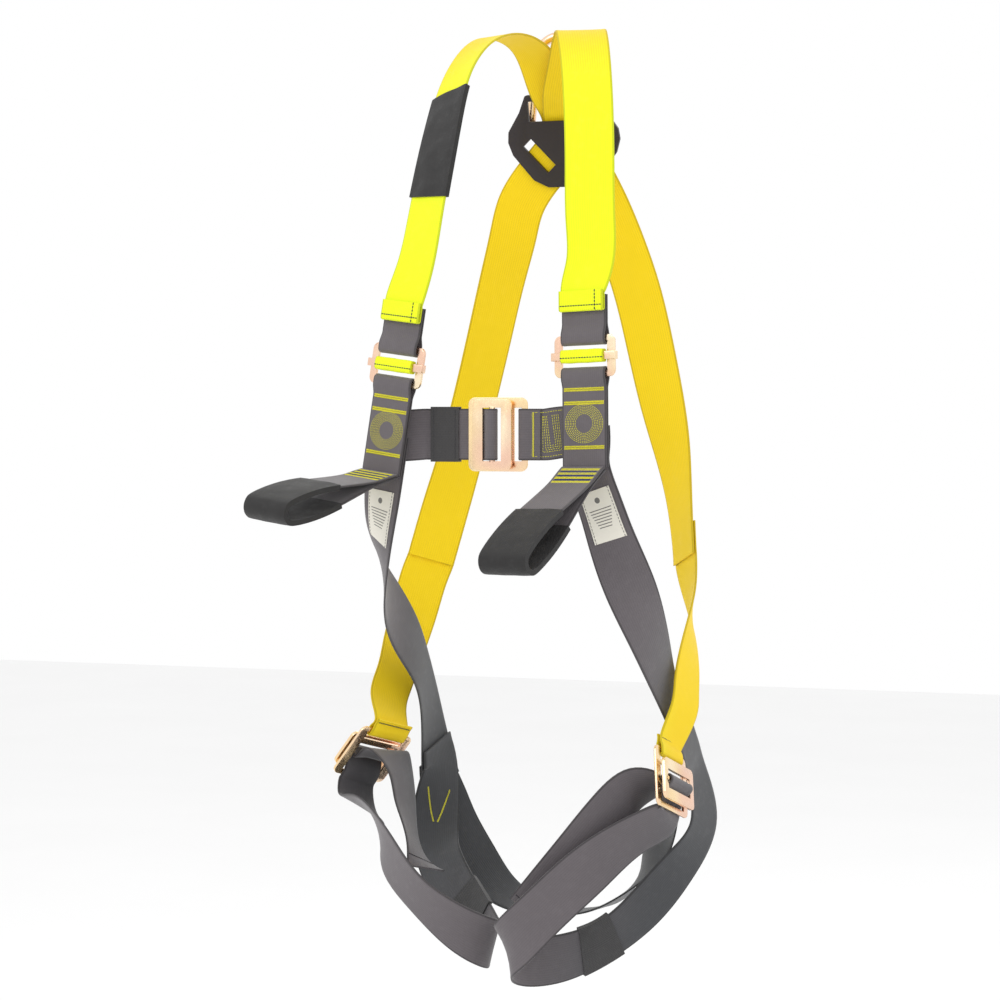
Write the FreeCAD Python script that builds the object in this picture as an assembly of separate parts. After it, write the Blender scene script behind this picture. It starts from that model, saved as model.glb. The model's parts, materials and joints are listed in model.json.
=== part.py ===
"""Full-body fall-arrest harness with chest connection, millimetres, +Z up.

The wearer faces -Y, so the wearer's left is at +X. The origin lies at shoulder height, midway between the
two shoulder straps. Routes are drawn as heights above the lowest edge of the leg loops.
"""
import FreeCAD, Part
import math
import os

from FreeCAD import Vector

# ---- driving dimensions -------------------------------------------------------------------------------
HARNESS_HEIGHT = 860.0    # shoulder crest to the lowest edge of the leg loops
HIP_WIDTH = 300.0         # across the hip straps
TORSO_DEPTH = 220.0       # chest webbing to back straps
WEB_WIDTH = 45.0          # every load-bearing strap
WEB_THICK = 2.0
LAYER_GAP = 0.3           # between straps that lie on each other
STRAIGHT_STEP = 3.0       # between the stations of a strap inside a fitting

BUCKLE_WIDTH = 61.0       # across the strap
BUCKLE_STEEL = 3.0
FRAME_LENGTH = 36.0       # along the strap
FRAME_WINDOW = 17.0
POST_RADIUS = 2.5         # strap post inside the buckle frame
PIN_CLEARANCE = 0.3       # webbing or lug around a post or bar
PLATE_REACH = 24.0        # receiver plate, from the post to its free edge
PLATE_STEEL = 2.5
PLATE_BAR = 5.0
PLATE_SLOT = 7.0
PLATE_END_BAR = 5.0
PLATE_LIFT = 6.8          # post axis to the middle of the receiver plate

ADJUSTER_HEIGHT = 36.0
ADJUSTER_BAR = 6.0
SLIDE_BAR_HEIGHT = 7.0
SLIDE_BAR_STEEL = 2.4
SLIDE_TRAVEL = 2.5        # each way
ROLL_WALL = 2.4
STACK_LENGTH = 80.0       # sewn chest stack below the adjuster frame
HEM_HEIGHT = 18.0
HEM_DROP = 38.0           # adjuster centre to the lower edge of the hem

LOOP_LENGTH = 140.0
LOOP_GAPE = 22.0          # widest gap between the two layers of a front loop
SLEEVE_WALL = 1.2

PLATE_HALF_WIDTH = 55.0   # dorsal plate
DORSAL_HEIGHT = 86.0
DORSAL_THICK = 3.6
DORSAL_TILT = 13.0        # degrees, top edge towards the wearer
RING_WIRE = 8.5
RING_INNER_WIDTH = 67.0
RING_HEIGHT = 86.0
RING_TOP_WIDTH = 44.0     # between the middles of the wire, at the top corners
LUG_WIDTH = 4.0

LABEL_WIDTH = 31.0
LABEL_HEIGHT = 40.0
LABEL_THICK = 0.6

# The routes below are drawn on a body of this size and stretched to the driving dimensions.
DRAWN_HEIGHT = 860.0
DRAWN_WIDTH = 300.0
DRAWN_DEPTH = 220.0


def spot(x, y, z):
    """Point of the drawn body, with z above the lowest edge, in the part's frame."""
    return Vector(
        x * HIP_WIDTH / DRAWN_WIDTH,
        y * TORSO_DEPTH / DRAWN_DEPTH,
        z * HARNESS_HEIGHT / DRAWN_HEIGHT - HARNESS_HEIGHT,
    )


class Seat:
    """Local frame of a fitting: run along the strap, across its width, and in towards the wearer."""

    def __init__(self, origin, run, across, wearer):
        self.origin = origin
        self.run = Vector(run).normalize()
        across = Vector(across)
        across = across - self.run * across.dot(self.run)
        self.across = across.normalize()
        self.inward = self.across.cross(self.run)
        if self.inward.dot(Vector(wearer)) < 0:
            self.across = -self.across
            self.inward = -self.inward

    def point(self, run, inward, across=0.0):
        """World point at the given local distances."""
        return self.origin + self.run * run + self.inward * inward + self.across * across

    def placement(self):
        """Placement that takes X to run, Y to inward and Z to across."""
        matrix = FreeCAD.Matrix(
            self.run.x, self.inward.x, self.across.x, self.origin.x,
            self.run.y, self.inward.y, self.across.y, self.origin.y,
            self.run.z, self.inward.z, self.across.z, self.origin.z,
            0, 0, 0, 1,
        )
        return FreeCAD.Placement(matrix)

    def stations(self, path, straight_step=STRAIGHT_STEP):
        """Ribbon stations for a path of (run, inward) pairs in this seat, its long runs kept straight."""
        full = path[:1]
        for before, after in zip(path, path[1:]):
            steps = max(1, int(math.dist(before, after) / straight_step))
            for step in range(1, steps + 1):
                share = step / steps
                full.append((before[0] + (after[0] - before[0]) * share, before[1] + (after[1] - before[1]) * share))
        return [(self.point(run, inward), self.across) for run, inward in full]

    def put(self, shape):
        """Move a shape modelled in local axes to this seat."""
        shape = shape.copy()
        shape.Placement = self.placement().multiply(shape.Placement)
        return shape


# ---- seats of the fittings ----------------------------------------------------------------------------
BACKWARD = (0, 1, 0)
ADJUSTERS = {
    "right": Seat(spot(-82, -108, 558), (0.14, 0.04, 0.99), (0.94, -0.34, 0), BACKWARD),
    "left": Seat(spot(91, -108, 565), (-0.02, 0.04, 1.0), (0.97, -0.25, 0), BACKWARD),
}
CHEST_BUCKLE = Seat(spot(6, -107, 498), (1, 0, 0), (0, 0, 1), BACKWARD)
HIP_BUCKLES = {
    "right": Seat(spot(-159, 4, 204), (0.60, -0.03, 0.79), (0.38, 0.89, -0.26), (1, 0, 0)),
    "left": Seat(spot(147, -20, 192), (-0.15, 0.35, 0.92), (0.14, 0.92, -0.33), (-1, 0, 0)),
}
DORSAL_RUN = (0, -math.sin(math.radians(DORSAL_TILT)), math.cos(math.radians(DORSAL_TILT)))
DORSAL = Seat(spot(0, 97, 776), DORSAL_RUN, (1, 0, 0), (0, -1, 0))


# ---- ribbons ------------------------------------------------------------------------------------------
def arc(cx, cy, radius, start, end, steps):
    """Points of an arc in seat axes, angles in degrees."""
    points = []
    for step in range(steps + 1):
        angle = math.radians(start + (end - start) * step / steps)
        points.append((cx + radius * math.cos(angle), cy + radius * math.sin(angle)))
    return points


def drawn(rows):
    """Stations of a hand-drawn route: x, y, z and the direction across the strap."""
    return [(spot(x, y, z), Vector(*across)) for x, y, z, across in rows]


def marks_along(points):
    """Curve parameters that grow with the root of the distance, which keeps tight folds from overshooting."""
    marks = [0.0]
    for before, after in zip(points, points[1:]):
        marks.append(marks[-1] + math.sqrt(before.distanceToPoint(after)))
    return marks


def corner_curves(stations, width, thick):
    """Four corner curves of a strap that passes through the stations, and their points."""
    points = [point for point, across in stations]
    marks = marks_along(points)
    centre = Part.BSplineCurve()
    centre.interpolate(Points=points, Parameters=marks)
    corners = [[], [], [], []]
    last_across = stations[0][1]
    for mark, (point, across) in zip(marks, stations):
        tangent = centre.tangent(mark)[0]
        across = (across - tangent * across.dot(tangent)).normalize()
        if across.dot(last_across) < 0:
            across = -across
        last_across = across
        normal = tangent.cross(across)
        for corner, (a, b) in zip(corners, ((1, 1), (1, -1), (-1, -1), (-1, 1))):
            corner.append(point + across * (a * width / 2) + normal * (b * thick / 2))
    curves = []
    for corner in corners:
        curve = Part.BSplineCurve()
        curve.interpolate(Points=corner, Parameters=marks)
        curves.append(curve)
    return curves, corners


def face_between(first, second):
    """Ruled face between two curves that share their knots."""
    surface = Part.BSplineSurface()
    surface.buildFromPolesMultsKnots(
        [[a, b] for a, b in zip(first.getPoles(), second.getPoles())],
        first.getMultiplicities(), [2, 2], first.getKnots(), [0, 1], False, False, first.Degree, 1,
    )
    return surface.toShape()


def ribbon(stations, width=WEB_WIDTH, thick=WEB_THICK):
    """Closed solid of a strap along its stations."""
    curves, corners = corner_curves(stations, width, thick)
    faces = [face_between(curves[i], curves[(i + 1) % 4]) for i in range(4)]
    for end in (0, -1):
        loop = [corner[end] for corner in corners]
        faces.append(Part.Face(Part.makePolygon(loop + loop[:1])))
    shell = Part.Shell(faces)
    shell.sewShape()
    solid = Part.Solid(shell)
    if solid.Volume < 0:
        solid.reverse()
    return solid


def stretch(stations, start, end, steps, lift=0.0):
    """Stations of a piece that lies along part of a strap, between two of its stations (shares allowed).

    Lift moves the piece off the strap, away from the wearer.
    """
    curves, corners = corner_curves(stations, WEB_WIDTH, WEB_THICK)
    marks = marks_along([point for point, across in stations])
    result = []
    for step in range(steps + 1):
        place = start + (end - start) * step / steps
        index = min(int(place), len(marks) - 2)
        mark = marks[index] + (marks[index + 1] - marks[index]) * (place - index)
        a, b, c, d = [curve.value(mark) for curve in curves]
        across = (a + b - c - d).normalize()
        normal = (a + d - b - c).normalize()
        middle = (a + b + c + d) * 0.25
        if normal.dot(Vector(middle.x, middle.y, 0)) < 0:
            normal = -normal
        result.append((middle + normal * lift, across))
    return result


def sleeve_round(stations, wall, clearance):
    """Closed tube of cloth round a stretch of strap."""
    inner_width = WEB_WIDTH + 2 * clearance
    inner_thick = WEB_THICK + 2 * clearance
    outer = ribbon(stations, inner_width + 2 * wall, inner_thick + 2 * wall)
    return outer.cut(ribbon(stations, inner_width, inner_thick))


def block(run, inward, across):
    """Box from three (low, high) pairs in seat axes."""
    corner = Vector(run[0], inward[0], across[0])
    return Part.makeBox(run[1] - run[0], inward[1] - inward[0], across[1] - across[0], corner)


def rounded_plate(run, across, inward, radius):
    """Flat plate with rounded corners, in seat axes."""
    plate = block(run, inward, across)
    edges = [edge for edge in plate.Edges if abs(edge.tangentAt(edge.FirstParameter).y) > 0.9]
    return plate.makeFillet(radius, edges)


# ---- pass-through buckles -----------------------------------------------------------------------------
FRAME_HALF = BUCKLE_WIDTH / 2
WINDOW_HALF = WEB_WIDTH / 2 + 0.6
POST_WRAP = POST_RADIUS + PIN_CLEARANCE + WEB_THICK / 2
PLATE_TOP = FRAME_LENGTH / 2 + PLATE_SLOT + PLATE_END_BAR
STRAP_LANE = PLATE_LIFT + PLATE_STEEL / 2 + LAYER_GAP + WEB_THICK / 2
TAIL_LANE = STRAP_LANE + WEB_THICK + LAYER_GAP


def buckle_frame():
    """Frame that passes through the receiver, with the post that the strap turns on."""
    half = FRAME_LENGTH / 2
    steel = (-BUCKLE_STEEL / 2, BUCKLE_STEEL / 2)
    frame = rounded_plate((-half, half), (-FRAME_HALF, FRAME_HALF), steel, 5.0)
    window = block((-FRAME_WINDOW / 2, FRAME_WINDOW / 2), (-BUCKLE_STEEL, BUCKLE_STEEL), (-WINDOW_HALF, WINDOW_HALF))
    post = Part.makeCylinder(POST_RADIUS, 2 * WINDOW_HALF + 2, Vector(0, 0, -WINDOW_HALF - 1), Vector(0, 0, 1))
    return frame.cut(window).fuse(post).removeSplitter()


def buckle_plate():
    """Slotted receiver behind the frame, with the end bar that the fixed strap loops on."""
    steel = (PLATE_LIFT - PLATE_STEEL / 2, PLATE_LIFT + PLATE_STEEL / 2)
    deep = (steel[0] - 1, steel[1] + 1)
    plate = rounded_plate((-PLATE_REACH, PLATE_TOP), (-FRAME_HALF - 1.5, FRAME_HALF + 1.5), steel, 6.0)
    slot_start = PLATE_TOP - PLATE_END_BAR - PLATE_SLOT
    mouth = block((-PLATE_REACH + PLATE_BAR, slot_start - 4.0), deep, (-WINDOW_HALF, WINDOW_HALF))
    slot = block((slot_start, slot_start + PLATE_SLOT), deep, (-WINDOW_HALF, WINDOW_HALF))
    return plate.cut(mouth).cut(slot)


POST_ENTRY = [(-27, STRAP_LANE + 0.8), (-21, STRAP_LANE + 0.2), (-17.0, 9.1), (-12.0, 6.4), (-8, 3.2), (-5.0, -0.6)]


def post_turn():
    """Path of a strap from below, through the receiver and round the post, up to the start of its tail."""
    return POST_ENTRY + arc(0, 0, POST_WRAP + 0.1, -135, 75, 7)


def end_bar_turn(outer_length, inner_length):
    """Path of a strap looped on the end bar of the receiver, its inner end sewn down."""
    turn_run = PLATE_TOP - PLATE_END_BAR - PIN_CLEARANCE - WEB_THICK / 2 + 1.6
    half = PLATE_STEEL / 2 + PIN_CLEARANCE + WEB_THICK / 2
    side = (WEB_THICK + LAYER_GAP) / 2
    outer = [(outer_length, PLATE_LIFT - side), (PLATE_TOP + 6, PLATE_LIFT - side), (PLATE_TOP, PLATE_LIFT - half)]
    turn = arc(turn_run, PLATE_LIFT, half, -90, -270, 6)
    inner = [(PLATE_TOP, PLATE_LIFT + half), (PLATE_TOP + 6, PLATE_LIFT + side), (inner_length, PLATE_LIFT + side)]
    return outer + turn + inner


# ---- chest stacks and adjusters -----------------------------------------------------------------------
def bar_loop(bar_run, toward, lengths, bar_half):
    """Hairpin round an adjuster bar; toward is +1 when the strap leaves upwards."""
    wrap = BUCKLE_STEEL / 2 * math.sqrt(2) + PIN_CLEARANCE + WEB_THICK / 2
    side = (WEB_THICK + LAYER_GAP) / 2
    near = bar_run + toward * (bar_half + 9)
    back = bar_run - toward * (bar_half - BUCKLE_STEEL / 2)
    angles = (-90, -270) if toward > 0 else (-90, 90)
    edge = bar_run + toward * (bar_half + 0.6)
    front = [(bar_run + toward * lengths[0], -side), (near, -side), (edge, -wrap)]
    rear = [(edge, wrap), (near, side), (bar_run + toward * lengths[1], side)]
    return front + arc(back, 0, wrap, *angles, 6) + rear


def adjuster_frame():
    """Closed frame that joins the shoulder tab to the chest webbing."""
    half = ADJUSTER_HEIGHT / 2
    steel = (-BUCKLE_STEEL / 2, BUCKLE_STEEL / 2)
    frame = rounded_plate((-half, half), (-FRAME_HALF, FRAME_HALF), steel, 6.0)
    inner = half - ADJUSTER_BAR
    window = block((-inner, inner), (-BUCKLE_STEEL, BUCKLE_STEEL), (-WINDOW_HALF, WINDOW_HALF))
    return frame.cut(window)


def slide_bar():
    """Flat bar across the front of the frame, its ends hooked round the frame's arms."""
    front = -BUCKLE_STEEL / 2 - PIN_CLEARANCE
    half = SLIDE_BAR_HEIGHT / 2
    reach = FRAME_HALF + PIN_CLEARANCE
    bar = block((-half, half), (front - SLIDE_BAR_STEEL, front), (-reach - 1.6, reach + 1.6))
    for low, high in ((-reach - 1.6, -reach), (reach, reach + 1.6)):
        bar = bar.fuse(block((-half, half), (front - 1, BUCKLE_STEEL / 2), (low, high)))
    return bar.removeSplitter()


def tail_roll():
    """Strap tail rolled and sewn round the slide bar."""
    middle = -BUCKLE_STEEL / 2 - PIN_CLEARANCE - SLIDE_BAR_STEEL / 2
    half_run = SLIDE_BAR_HEIGHT / 2 + ROLL_WALL
    half_in = SLIDE_BAR_STEEL / 2 + ROLL_WALL
    across = (-WEB_WIDTH / 2 + 1, WEB_WIDTH / 2 - 1)
    roll = block((-half_run, half_run), (middle - half_in, middle + half_in), across)
    edges = [edge for edge in roll.Edges if abs(edge.tangentAt(edge.FirstParameter).z) > 0.9]
    roll = roll.makeFillet(ROLL_WALL * 0.9, edges)
    bore = block(
        (-SLIDE_BAR_HEIGHT / 2, SLIDE_BAR_HEIGHT / 2),
        (middle - SLIDE_BAR_STEEL / 2, middle + SLIDE_BAR_STEEL / 2),
        (-WEB_WIDTH, WEB_WIDTH),
    )
    return roll.cut(bore)


BAR_CENTRE = (ADJUSTER_HEIGHT - ADJUSTER_BAR) / 2
STACK_END = BAR_CENTRE + STACK_LENGTH
STACK_REAR = WEB_THICK + LAYER_GAP / 2
HEM_LANE = -(1.5 * WEB_THICK + 1.5 * LAYER_GAP)
SIDE_LANE = -HEM_LANE + 0.2
CHEST_LANE = SIDE_LANE + WEB_THICK + 2 * LAYER_GAP


def shoulder_tab(side):
    """Grey tab sewn under the hem, looped on the top bar of the adjuster."""
    path = bar_loop(BAR_CENTRE, 1, (HEM_DROP - BAR_CENTRE + 14, HEM_DROP - BAR_CENTRE + 14), ADJUSTER_BAR / 2)
    return ribbon(ADJUSTERS[side].stations(path))


def chest_webbing(side):
    """Double webbing from the adjuster's lower bar down to the front loop."""
    path = bar_loop(-BAR_CENTRE, -1, (STACK_LENGTH, STACK_LENGTH), ADJUSTER_BAR / 2)
    return ribbon(ADJUSTERS[side].stations(path))


def hem_stations(side):
    """Folded hem at the lower end of a shoulder strap."""
    fold = WEB_THICK / 2 + 0.4
    outer_lane = HEM_LANE - 2 * fold
    top = HEM_DROP + HEM_HEIGHT
    low = HEM_DROP + fold + WEB_THICK / 2
    path = [(top, outer_lane), ((top + low) / 2, outer_lane), (low, outer_lane)]
    path += arc(low, HEM_LANE - fold, fold, 270, 90, 4)[1:-1]
    path += [(low, HEM_LANE), ((top + low) / 2, HEM_LANE), (top, HEM_LANE)]
    return ADJUSTERS[side].stations(path)


# ---- hand-drawn routes --------------------------------------------------------------------------------
SHOULDER_ROUTES = {
    "right": [
        (-66, -108, 642, (0.93, -0.37, 0)), (-58, -104, 685, (0.90, -0.43, 0)), (-52, -94, 735, (0.88, -0.47, 0)),
        (-49, -78, 778, (0.84, -0.54, 0)), (-47, -58, 812, (0.80, -0.60, 0)), (-41, -32, 840, (0.80, -0.60, 0)),
        (-32, -6, 855, (0.86, -0.50, 0)), (-21, 20, 857, (0.92, -0.38, 0)), (-12, 47, 847, (0.94, -0.32, 0)),
        (-7, 68.5, 826, (0.99, -0.08, 0.02)), (-4, 84.5, 807, (1.0, -0.02, 0.0)), (-1, 102.2, 791.5, (1.0, 0.0, 0.0)),
        (1, 105.7, 776, (0.99, -0.02, 0.10)), (16, 111.5, 748, (0.92, -0.09, 0.38)), (33, 116, 715, (0.93, -0.05, 0.38)),
        (51, 117, 672, (0.95, 0.05, 0.33)), (67, 116, 626, (0.97, 0.10, 0.25)), (81, 111, 575, (0.98, 0.05, 0.25)),
        (95, 102, 525, (0.97, -0.15, 0.22)), (108, 91, 482, (0.88, -0.45, 0.15)), (118, 79, 440, (0.74, -0.67, 0.10)),
        (125, 68, 398, (0.66, -0.75, 0.05)), (127, 64, 384, (0.65, -0.76, 0.05)),
    ],
    "left": [
        (95, -107, 645, (1.0, -0.10, 0)), (94, -103, 685, (1.0, 0, 0)), (90, -93, 733, (1.0, 0, 0)),
        (84, -78, 777, (1.0, 0, 0)), (75, -57, 813, (1.0, 0, 0)), (64, -32, 841, (0.99, 0, 0)),
        (53, -7, 856, (0.97, 0.1, 0)), (43, 16, 858, (0.95, 0.2, 0)), (32, 37, 847, (0.95, 0.22, 0)),
        (20, 58, 826, (0.99, 0.06, -0.04)), (9, 78.2, 807, (1.0, 0.02, 0.0)), (3, 96.6, 791.5, (1.0, 0.0, 0.0)),
        (1, 101.2, 777, (0.98, 0.03, -0.16)), (-8, 104.6, 761, (0.87, 0.10, -0.48)), (-22, 107.5, 746, (0.80, 0.13, -0.58)),
        (-46, 112, 716, (0.86, 0.25, -0.42)), (-56, 113, 684, (0.84, 0.45, -0.28)), (-67, 113, 642, (0.76, 0.62, -0.20)),
        (-79, 110, 588, (0.72, 0.66, -0.17)), (-92, 106, 530, (0.70, 0.68, -0.16)), (-105, 99, 472, (0.74, 0.62, -0.22)),
        (-115, 91, 430, (0.84, 0.46, -0.26)), (-123, 84, 395, (0.88, 0.38, -0.26)), (-127, 81, 378, (0.88, 0.38, -0.26)),
    ],
}
HIP_ROUTES = {
    "right": [
        (-133, 79, 362, (0.86, 0.42, -0.25)), (-138.5, 68, 330, (0.76, 0.58, -0.25)),
        (-142, 50, 298, (0.60, 0.74, -0.28)), (-143, 30, 270, (0.46, 0.84, -0.30)), (-142, 14, 249, (0.40, 0.88, -0.28)),
    ],
    "left": [
        (136, 54, 356, (0.52, -0.85, 0)), (141, 41, 328, (0.20, -0.97, 0)), (143.5, 27, 300, (-0.08, -0.98, 0.05)),
        (145, 13, 274, (-0.20, -0.95, 0.15)), (144.5, 4, 252, (-0.25, -0.90, 0.25)),
    ],
}
SIDE_ROUTES = {
    "right": [
        (-97, -108, 440, (0.90, -0.42, 0)), (-102, -101, 408, (0.75, -0.66, 0)), (-107, -80, 373, (0.35, -0.93, 0)),
        (-111, -50, 344, (0.02, -0.98, -0.15)), (-112, -14, 314, (-0.12, -0.92, -0.36)), (-113, 22, 283, (0.04, -0.93, -0.36)),
        (-116, 50, 246, (0.0, -0.93, -0.35)), (-119, 70, 208, (-0.20, -0.94, -0.25)), (-118, 84, 170, (-0.50, -0.82, -0.25)),
    ],
    "left": [
        (103, -106, 440, (0.97, -0.20, 0.05)), (112, -103, 412, (0.93, -0.10, 0.20)), (123, -91, 374, (0.82, 0.30, 0.35)),
        (130, -62, 334, (0.55, 0.68, 0.48)), (131, -26, 298, (0.25, 0.84, 0.50)), (131, 8, 264, (0.05, 0.88, 0.45)),
        (135, 34, 228, (0.0, 0.92, 0.35)), (138, 55, 192, (0.05, 0.97, 0.20)),
    ],
}
SEAT_ROUTE = [
    (-115, 90.5, 152, (-0.60, -0.75, -0.28)), (-105, 94, 128, (-0.52, -0.76, -0.40)), (-86, 94.5, 98, (-0.42, -0.80, -0.45)),
    (-66, 93, 74, (-0.30, -0.88, -0.35)), (-42, 91, 60, (-0.20, -0.95, -0.20)), (-10, 90, 53, (-0.10, -0.98, 0)),
    (26, 90, 55, (0.0, -1.0, 0.05)), (54, 91, 66, (0.20, -0.94, 0.20)), (74, 91, 86, (0.50, -0.70, 0.45)),
    (92, 89, 116, (0.72, -0.40, 0.55)), (112, 84, 146, (0.60, -0.65, 0.45)), (126, 74, 172, (0.30, -0.90, 0.30)),
]
LEG_REAR_ROUTES = {
    "right": [
        (-117, 68, 136, (-0.60, -0.65, -0.45)), (-102, 42, 102, (-0.62, -0.35, -0.70)),
        (-72, 14, 76, (-0.50, -0.15, -0.85)), (-40, -12, 54, (-0.35, 0.0, -0.93)), (-20, -34, 44, (-0.28, 0.10, -0.95)),
    ],
    "left": [
        (147, 60, 150, (0.25, 0.95, -0.10)), (127, 50, 108, (0.45, 0.78, -0.35)), (96, 32, 68, (0.35, 0.60, -0.62)),
        (65, 4, 42, (0.05, 0.45, -0.87)), (36, -26, 32, (0.0, 0.15, -1.0)), (16, -46, 33, (0.15, 0.10, -0.98)),
    ],
}
LEG_FRONT_ROUTES = {
    "right": [
        (-19, -52, 48, (-0.28, 0.15, -0.95)), (-36, -72, 62, (-0.35, 0.25, -0.90)), (-74, -82, 92, (-0.52, 0.50, -0.70)),
        (-112, -64, 128, (-0.60, 0.70, -0.40)), (-140, -34, 156, (-0.34, 0.92, -0.20)), (-163, -10, 160, (0.25, 0.95, -0.20)),
    ],
    "left": [
        (6, -64, 41, (0.28, 0.10, -0.94)), (12, -80, 52, (0.33, 0.15, -0.92)), (42, -88, 82, (0.48, 0.25, -0.80)),
        (82, -68, 122, (0.60, 0.42, -0.66)), (120, -42, 152, (0.42, 0.74, -0.48)),
    ],
}
TAIL_ROUTES = {
    "right": [
        (-151, 1, 199, (0.38, 0.89, -0.26)), (-134, -8, 208, (0.29, 0.94, -0.17)), (-121, -12, 196, (0.15, 0.98, -0.05)),
        (-114, -14, 166, (0.0, 0.98, 0.1)), (-104, -22, 134, (-0.3, 0.85, 0.3)), (-84, -38, 108, (-0.5, 0.7, 0.4)),
    ],
    "left": [
        (135, -19, 190, (0.16, 0.92, -0.33)), (112, -38, 187, (0.42, 0.70, -0.50)), (95, -50, 170, (0.52, 0.55, -0.60)),
        (72, -60, 138, (0.56, 0.42, -0.68)), (43, -66, 100, (0.50, 0.28, -0.80)), (24, -63, 77, (0.45, 0.20, -0.85)),
    ],
}


OTHER = {"left": "right", "right": "left"}


def shoulder_stations(side):
    """Stations of a shoulder strap, hem first."""
    return hem_stations(side) + drawn(SHOULDER_ROUTES[side])


def shoulder_strap(side):
    """Yellow strap: chest hem, over the shoulder, behind the dorsal plate, down to the opposite lap joint."""
    return ribbon(shoulder_stations(side))


def hip_strap(side):
    """Yellow strap from the lap joint to the hip buckle, looped on the receiver and sewn."""
    upper = shoulder_stations(OTHER[side])
    last = len(upper) - 1
    lap = stretch(upper, last - 1.4, last, 3, WEB_THICK + LAYER_GAP)
    turn = HIP_BUCKLES[side].stations(end_bar_turn(PLATE_TOP + 11, PLATE_TOP + 11)[1:])
    return ribbon(lap + drawn(HIP_ROUTES[side]) + turn)


def side_stations(side):
    """Stations of a side strap, from behind the chest stack to the rear hip."""
    path = [(-STACK_END + 34, SIDE_LANE), (-STACK_END + 17, SIDE_LANE), (-STACK_END, SIDE_LANE)]
    return ADJUSTERS[side].stations(path, straight_step=17.0) + drawn(SIDE_ROUTES[side])


def side_strap(side):
    """Grey strap from the chest stack, inside the hip, to the rear."""
    return ribbon(side_stations(side))


REAR_LAP = WEB_THICK + 2 * LAYER_GAP


def rear_lap(side, share, hand, short=0.0):
    """Stations sewn on the end of a side strap: hand is +1 on its outer face and -1 on its inner face."""
    upper = side_stations(side)
    last = len(upper) - 1
    return stretch(upper, last - share, last - short, 3, hand * REAR_LAP)


def seat_strap():
    """Sub-pelvic strap under the seat, between the two side straps."""
    return ribbon(rear_lap("right", 0.6, 1) + drawn(SEAT_ROUTE) + rear_lap("left", 0.6, -1)[::-1])


def leg_stations(side):
    """Stations of a leg strap up to the hip buckle, sewn end first."""
    sewn = rear_lap(side, 1.0, {"right": -1.35, "left": 1.15}[side], {"right": 0.4, "left": 0.0}[side])
    return sewn + drawn(LEG_REAR_ROUTES[side]) + drawn(LEG_FRONT_ROUTES[side])


def leg_strap(side):
    """Strap from the rear hip through the crotch, up the front, round the hip buckle's post, with its tail."""
    return ribbon(leg_stations(side) + HIP_BUCKLES[side].stations(post_turn()) + drawn(TAIL_ROUTES[side]))


# ---- chest strap --------------------------------------------------------------------------------------
KEEPER_LENGTH = 26.0
KEEPER_END = 60.0         # buckle post to the far edge of the keeper
CHEST_STRAIGHT = 66.0     # buckle post to where the strap bends to the stack


def chest_strap_right():
    """Half that turns on the post of the chest buckle, with its tail held by the keeper."""
    stack = ADJUSTERS["right"]
    start = [(stack.point(-STACK_END + 34, CHEST_LANE, across), stack.run) for across in (16, 9, 2, -5)]
    tail = [(-6.5, 6.2), (-12.0, 9.8), (-19.5, TAIL_LANE + 0.2), (-26, TAIL_LANE + 0.2), (-CHEST_STRAIGHT, TAIL_LANE + 0.2)]
    path = [(-CHEST_STRAIGHT, STRAP_LANE), (-27, STRAP_LANE)] + post_turn()[1:] + tail
    return ribbon(start + CHEST_BUCKLE.stations(path))


def chest_strap_left():
    """Half that loops on the end bar of the receiver and is sewn behind the left stack."""
    stack = ADJUSTERS["left"]
    turn = CHEST_BUCKLE.stations(end_bar_turn(PLATE_TOP + 12, PLATE_TOP + 16))
    end = [(stack.point(-STACK_END + 31, CHEST_LANE, across), stack.run) for across in (29, 21, 9, -4, -16)]
    return ribbon(turn + end)


# ---- front attachment loops ---------------------------------------------------------------------------
LOOP_BASE_GAP = 0.6
LOOP_SEAM = 26.0
LOOP_DIRECTIONS = {"right": (-0.35, -0.915, -0.21), "left": (-0.22, -0.80, -0.57)}
LOOP_SEATS = {
    name: Seat(stack.point(-STACK_END - LOOP_BASE_GAP, -WEB_THICK - 0.9), LOOP_DIRECTIONS[name], stack.across, (0, 0, -1))
    for name, stack in ADJUSTERS.items()
}


def loop_path():
    """Path of a front loop: sewn base, spindle-shaped eye, and back."""
    side = (WEB_THICK + LAYER_GAP) / 2
    nose = LOOP_GAPE * 0.40
    middle = LOOP_LENGTH - nose
    shares = ((0.45, 0.60), (0.62, 0.88), (0.80, 0.96))
    upper = [(0.4, -side - 0.05), (LOOP_SEAM / 2, -side - 0.15), (LOOP_SEAM, -side - 0.35)]
    upper += [(share * LOOP_LENGTH, -gape * LOOP_GAPE / 2) for share, gape in shares]
    nose_arc = arc(middle, 0, nose, -70, 70, 6)
    lower = [(run, -inward) for run, inward in reversed(upper)]
    return upper + nose_arc + lower


def loop_stations(side):
    """Stations of one front loop."""
    return LOOP_SEATS[side].stations(loop_path(), straight_step=LOOP_LENGTH)


def front_loop(side):
    """Webbing loop that a lanyard clips to."""
    return ribbon(loop_stations(side))


def loop_sleeve(side):
    """Protective sleeve over the nose of a front loop."""
    stations = loop_stations(side)
    last = len(stations) - 1
    return sleeve_round(stretch(stations, 3.4, last - 3.4, 28), SLEEVE_WALL, 0.1)


# ---- dorsal plate and D-ring --------------------------------------------------------------------------
RING_RADIUS = RING_WIRE / 2
RING_BEND = 5.0
RING_TOP_BEND = 24.0
RING_RUN = 4.0
RING_LANE = -(DORSAL_THICK / 2 + 2 * WEB_THICK + 6 * LAYER_GAP + 3.0 + RING_RADIUS)
LUG_OUTER = RING_INNER_WIDTH / 2 - 2.6
SLOT_HALF_WIDTH = 33.0
PLATE_OUTLINE = [(38, 0), (38, 35), (22, 42), (4, 54), (-6, 55), (-18, 51), (-42, 32), (-49, 18), (-49, 0)]


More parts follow.
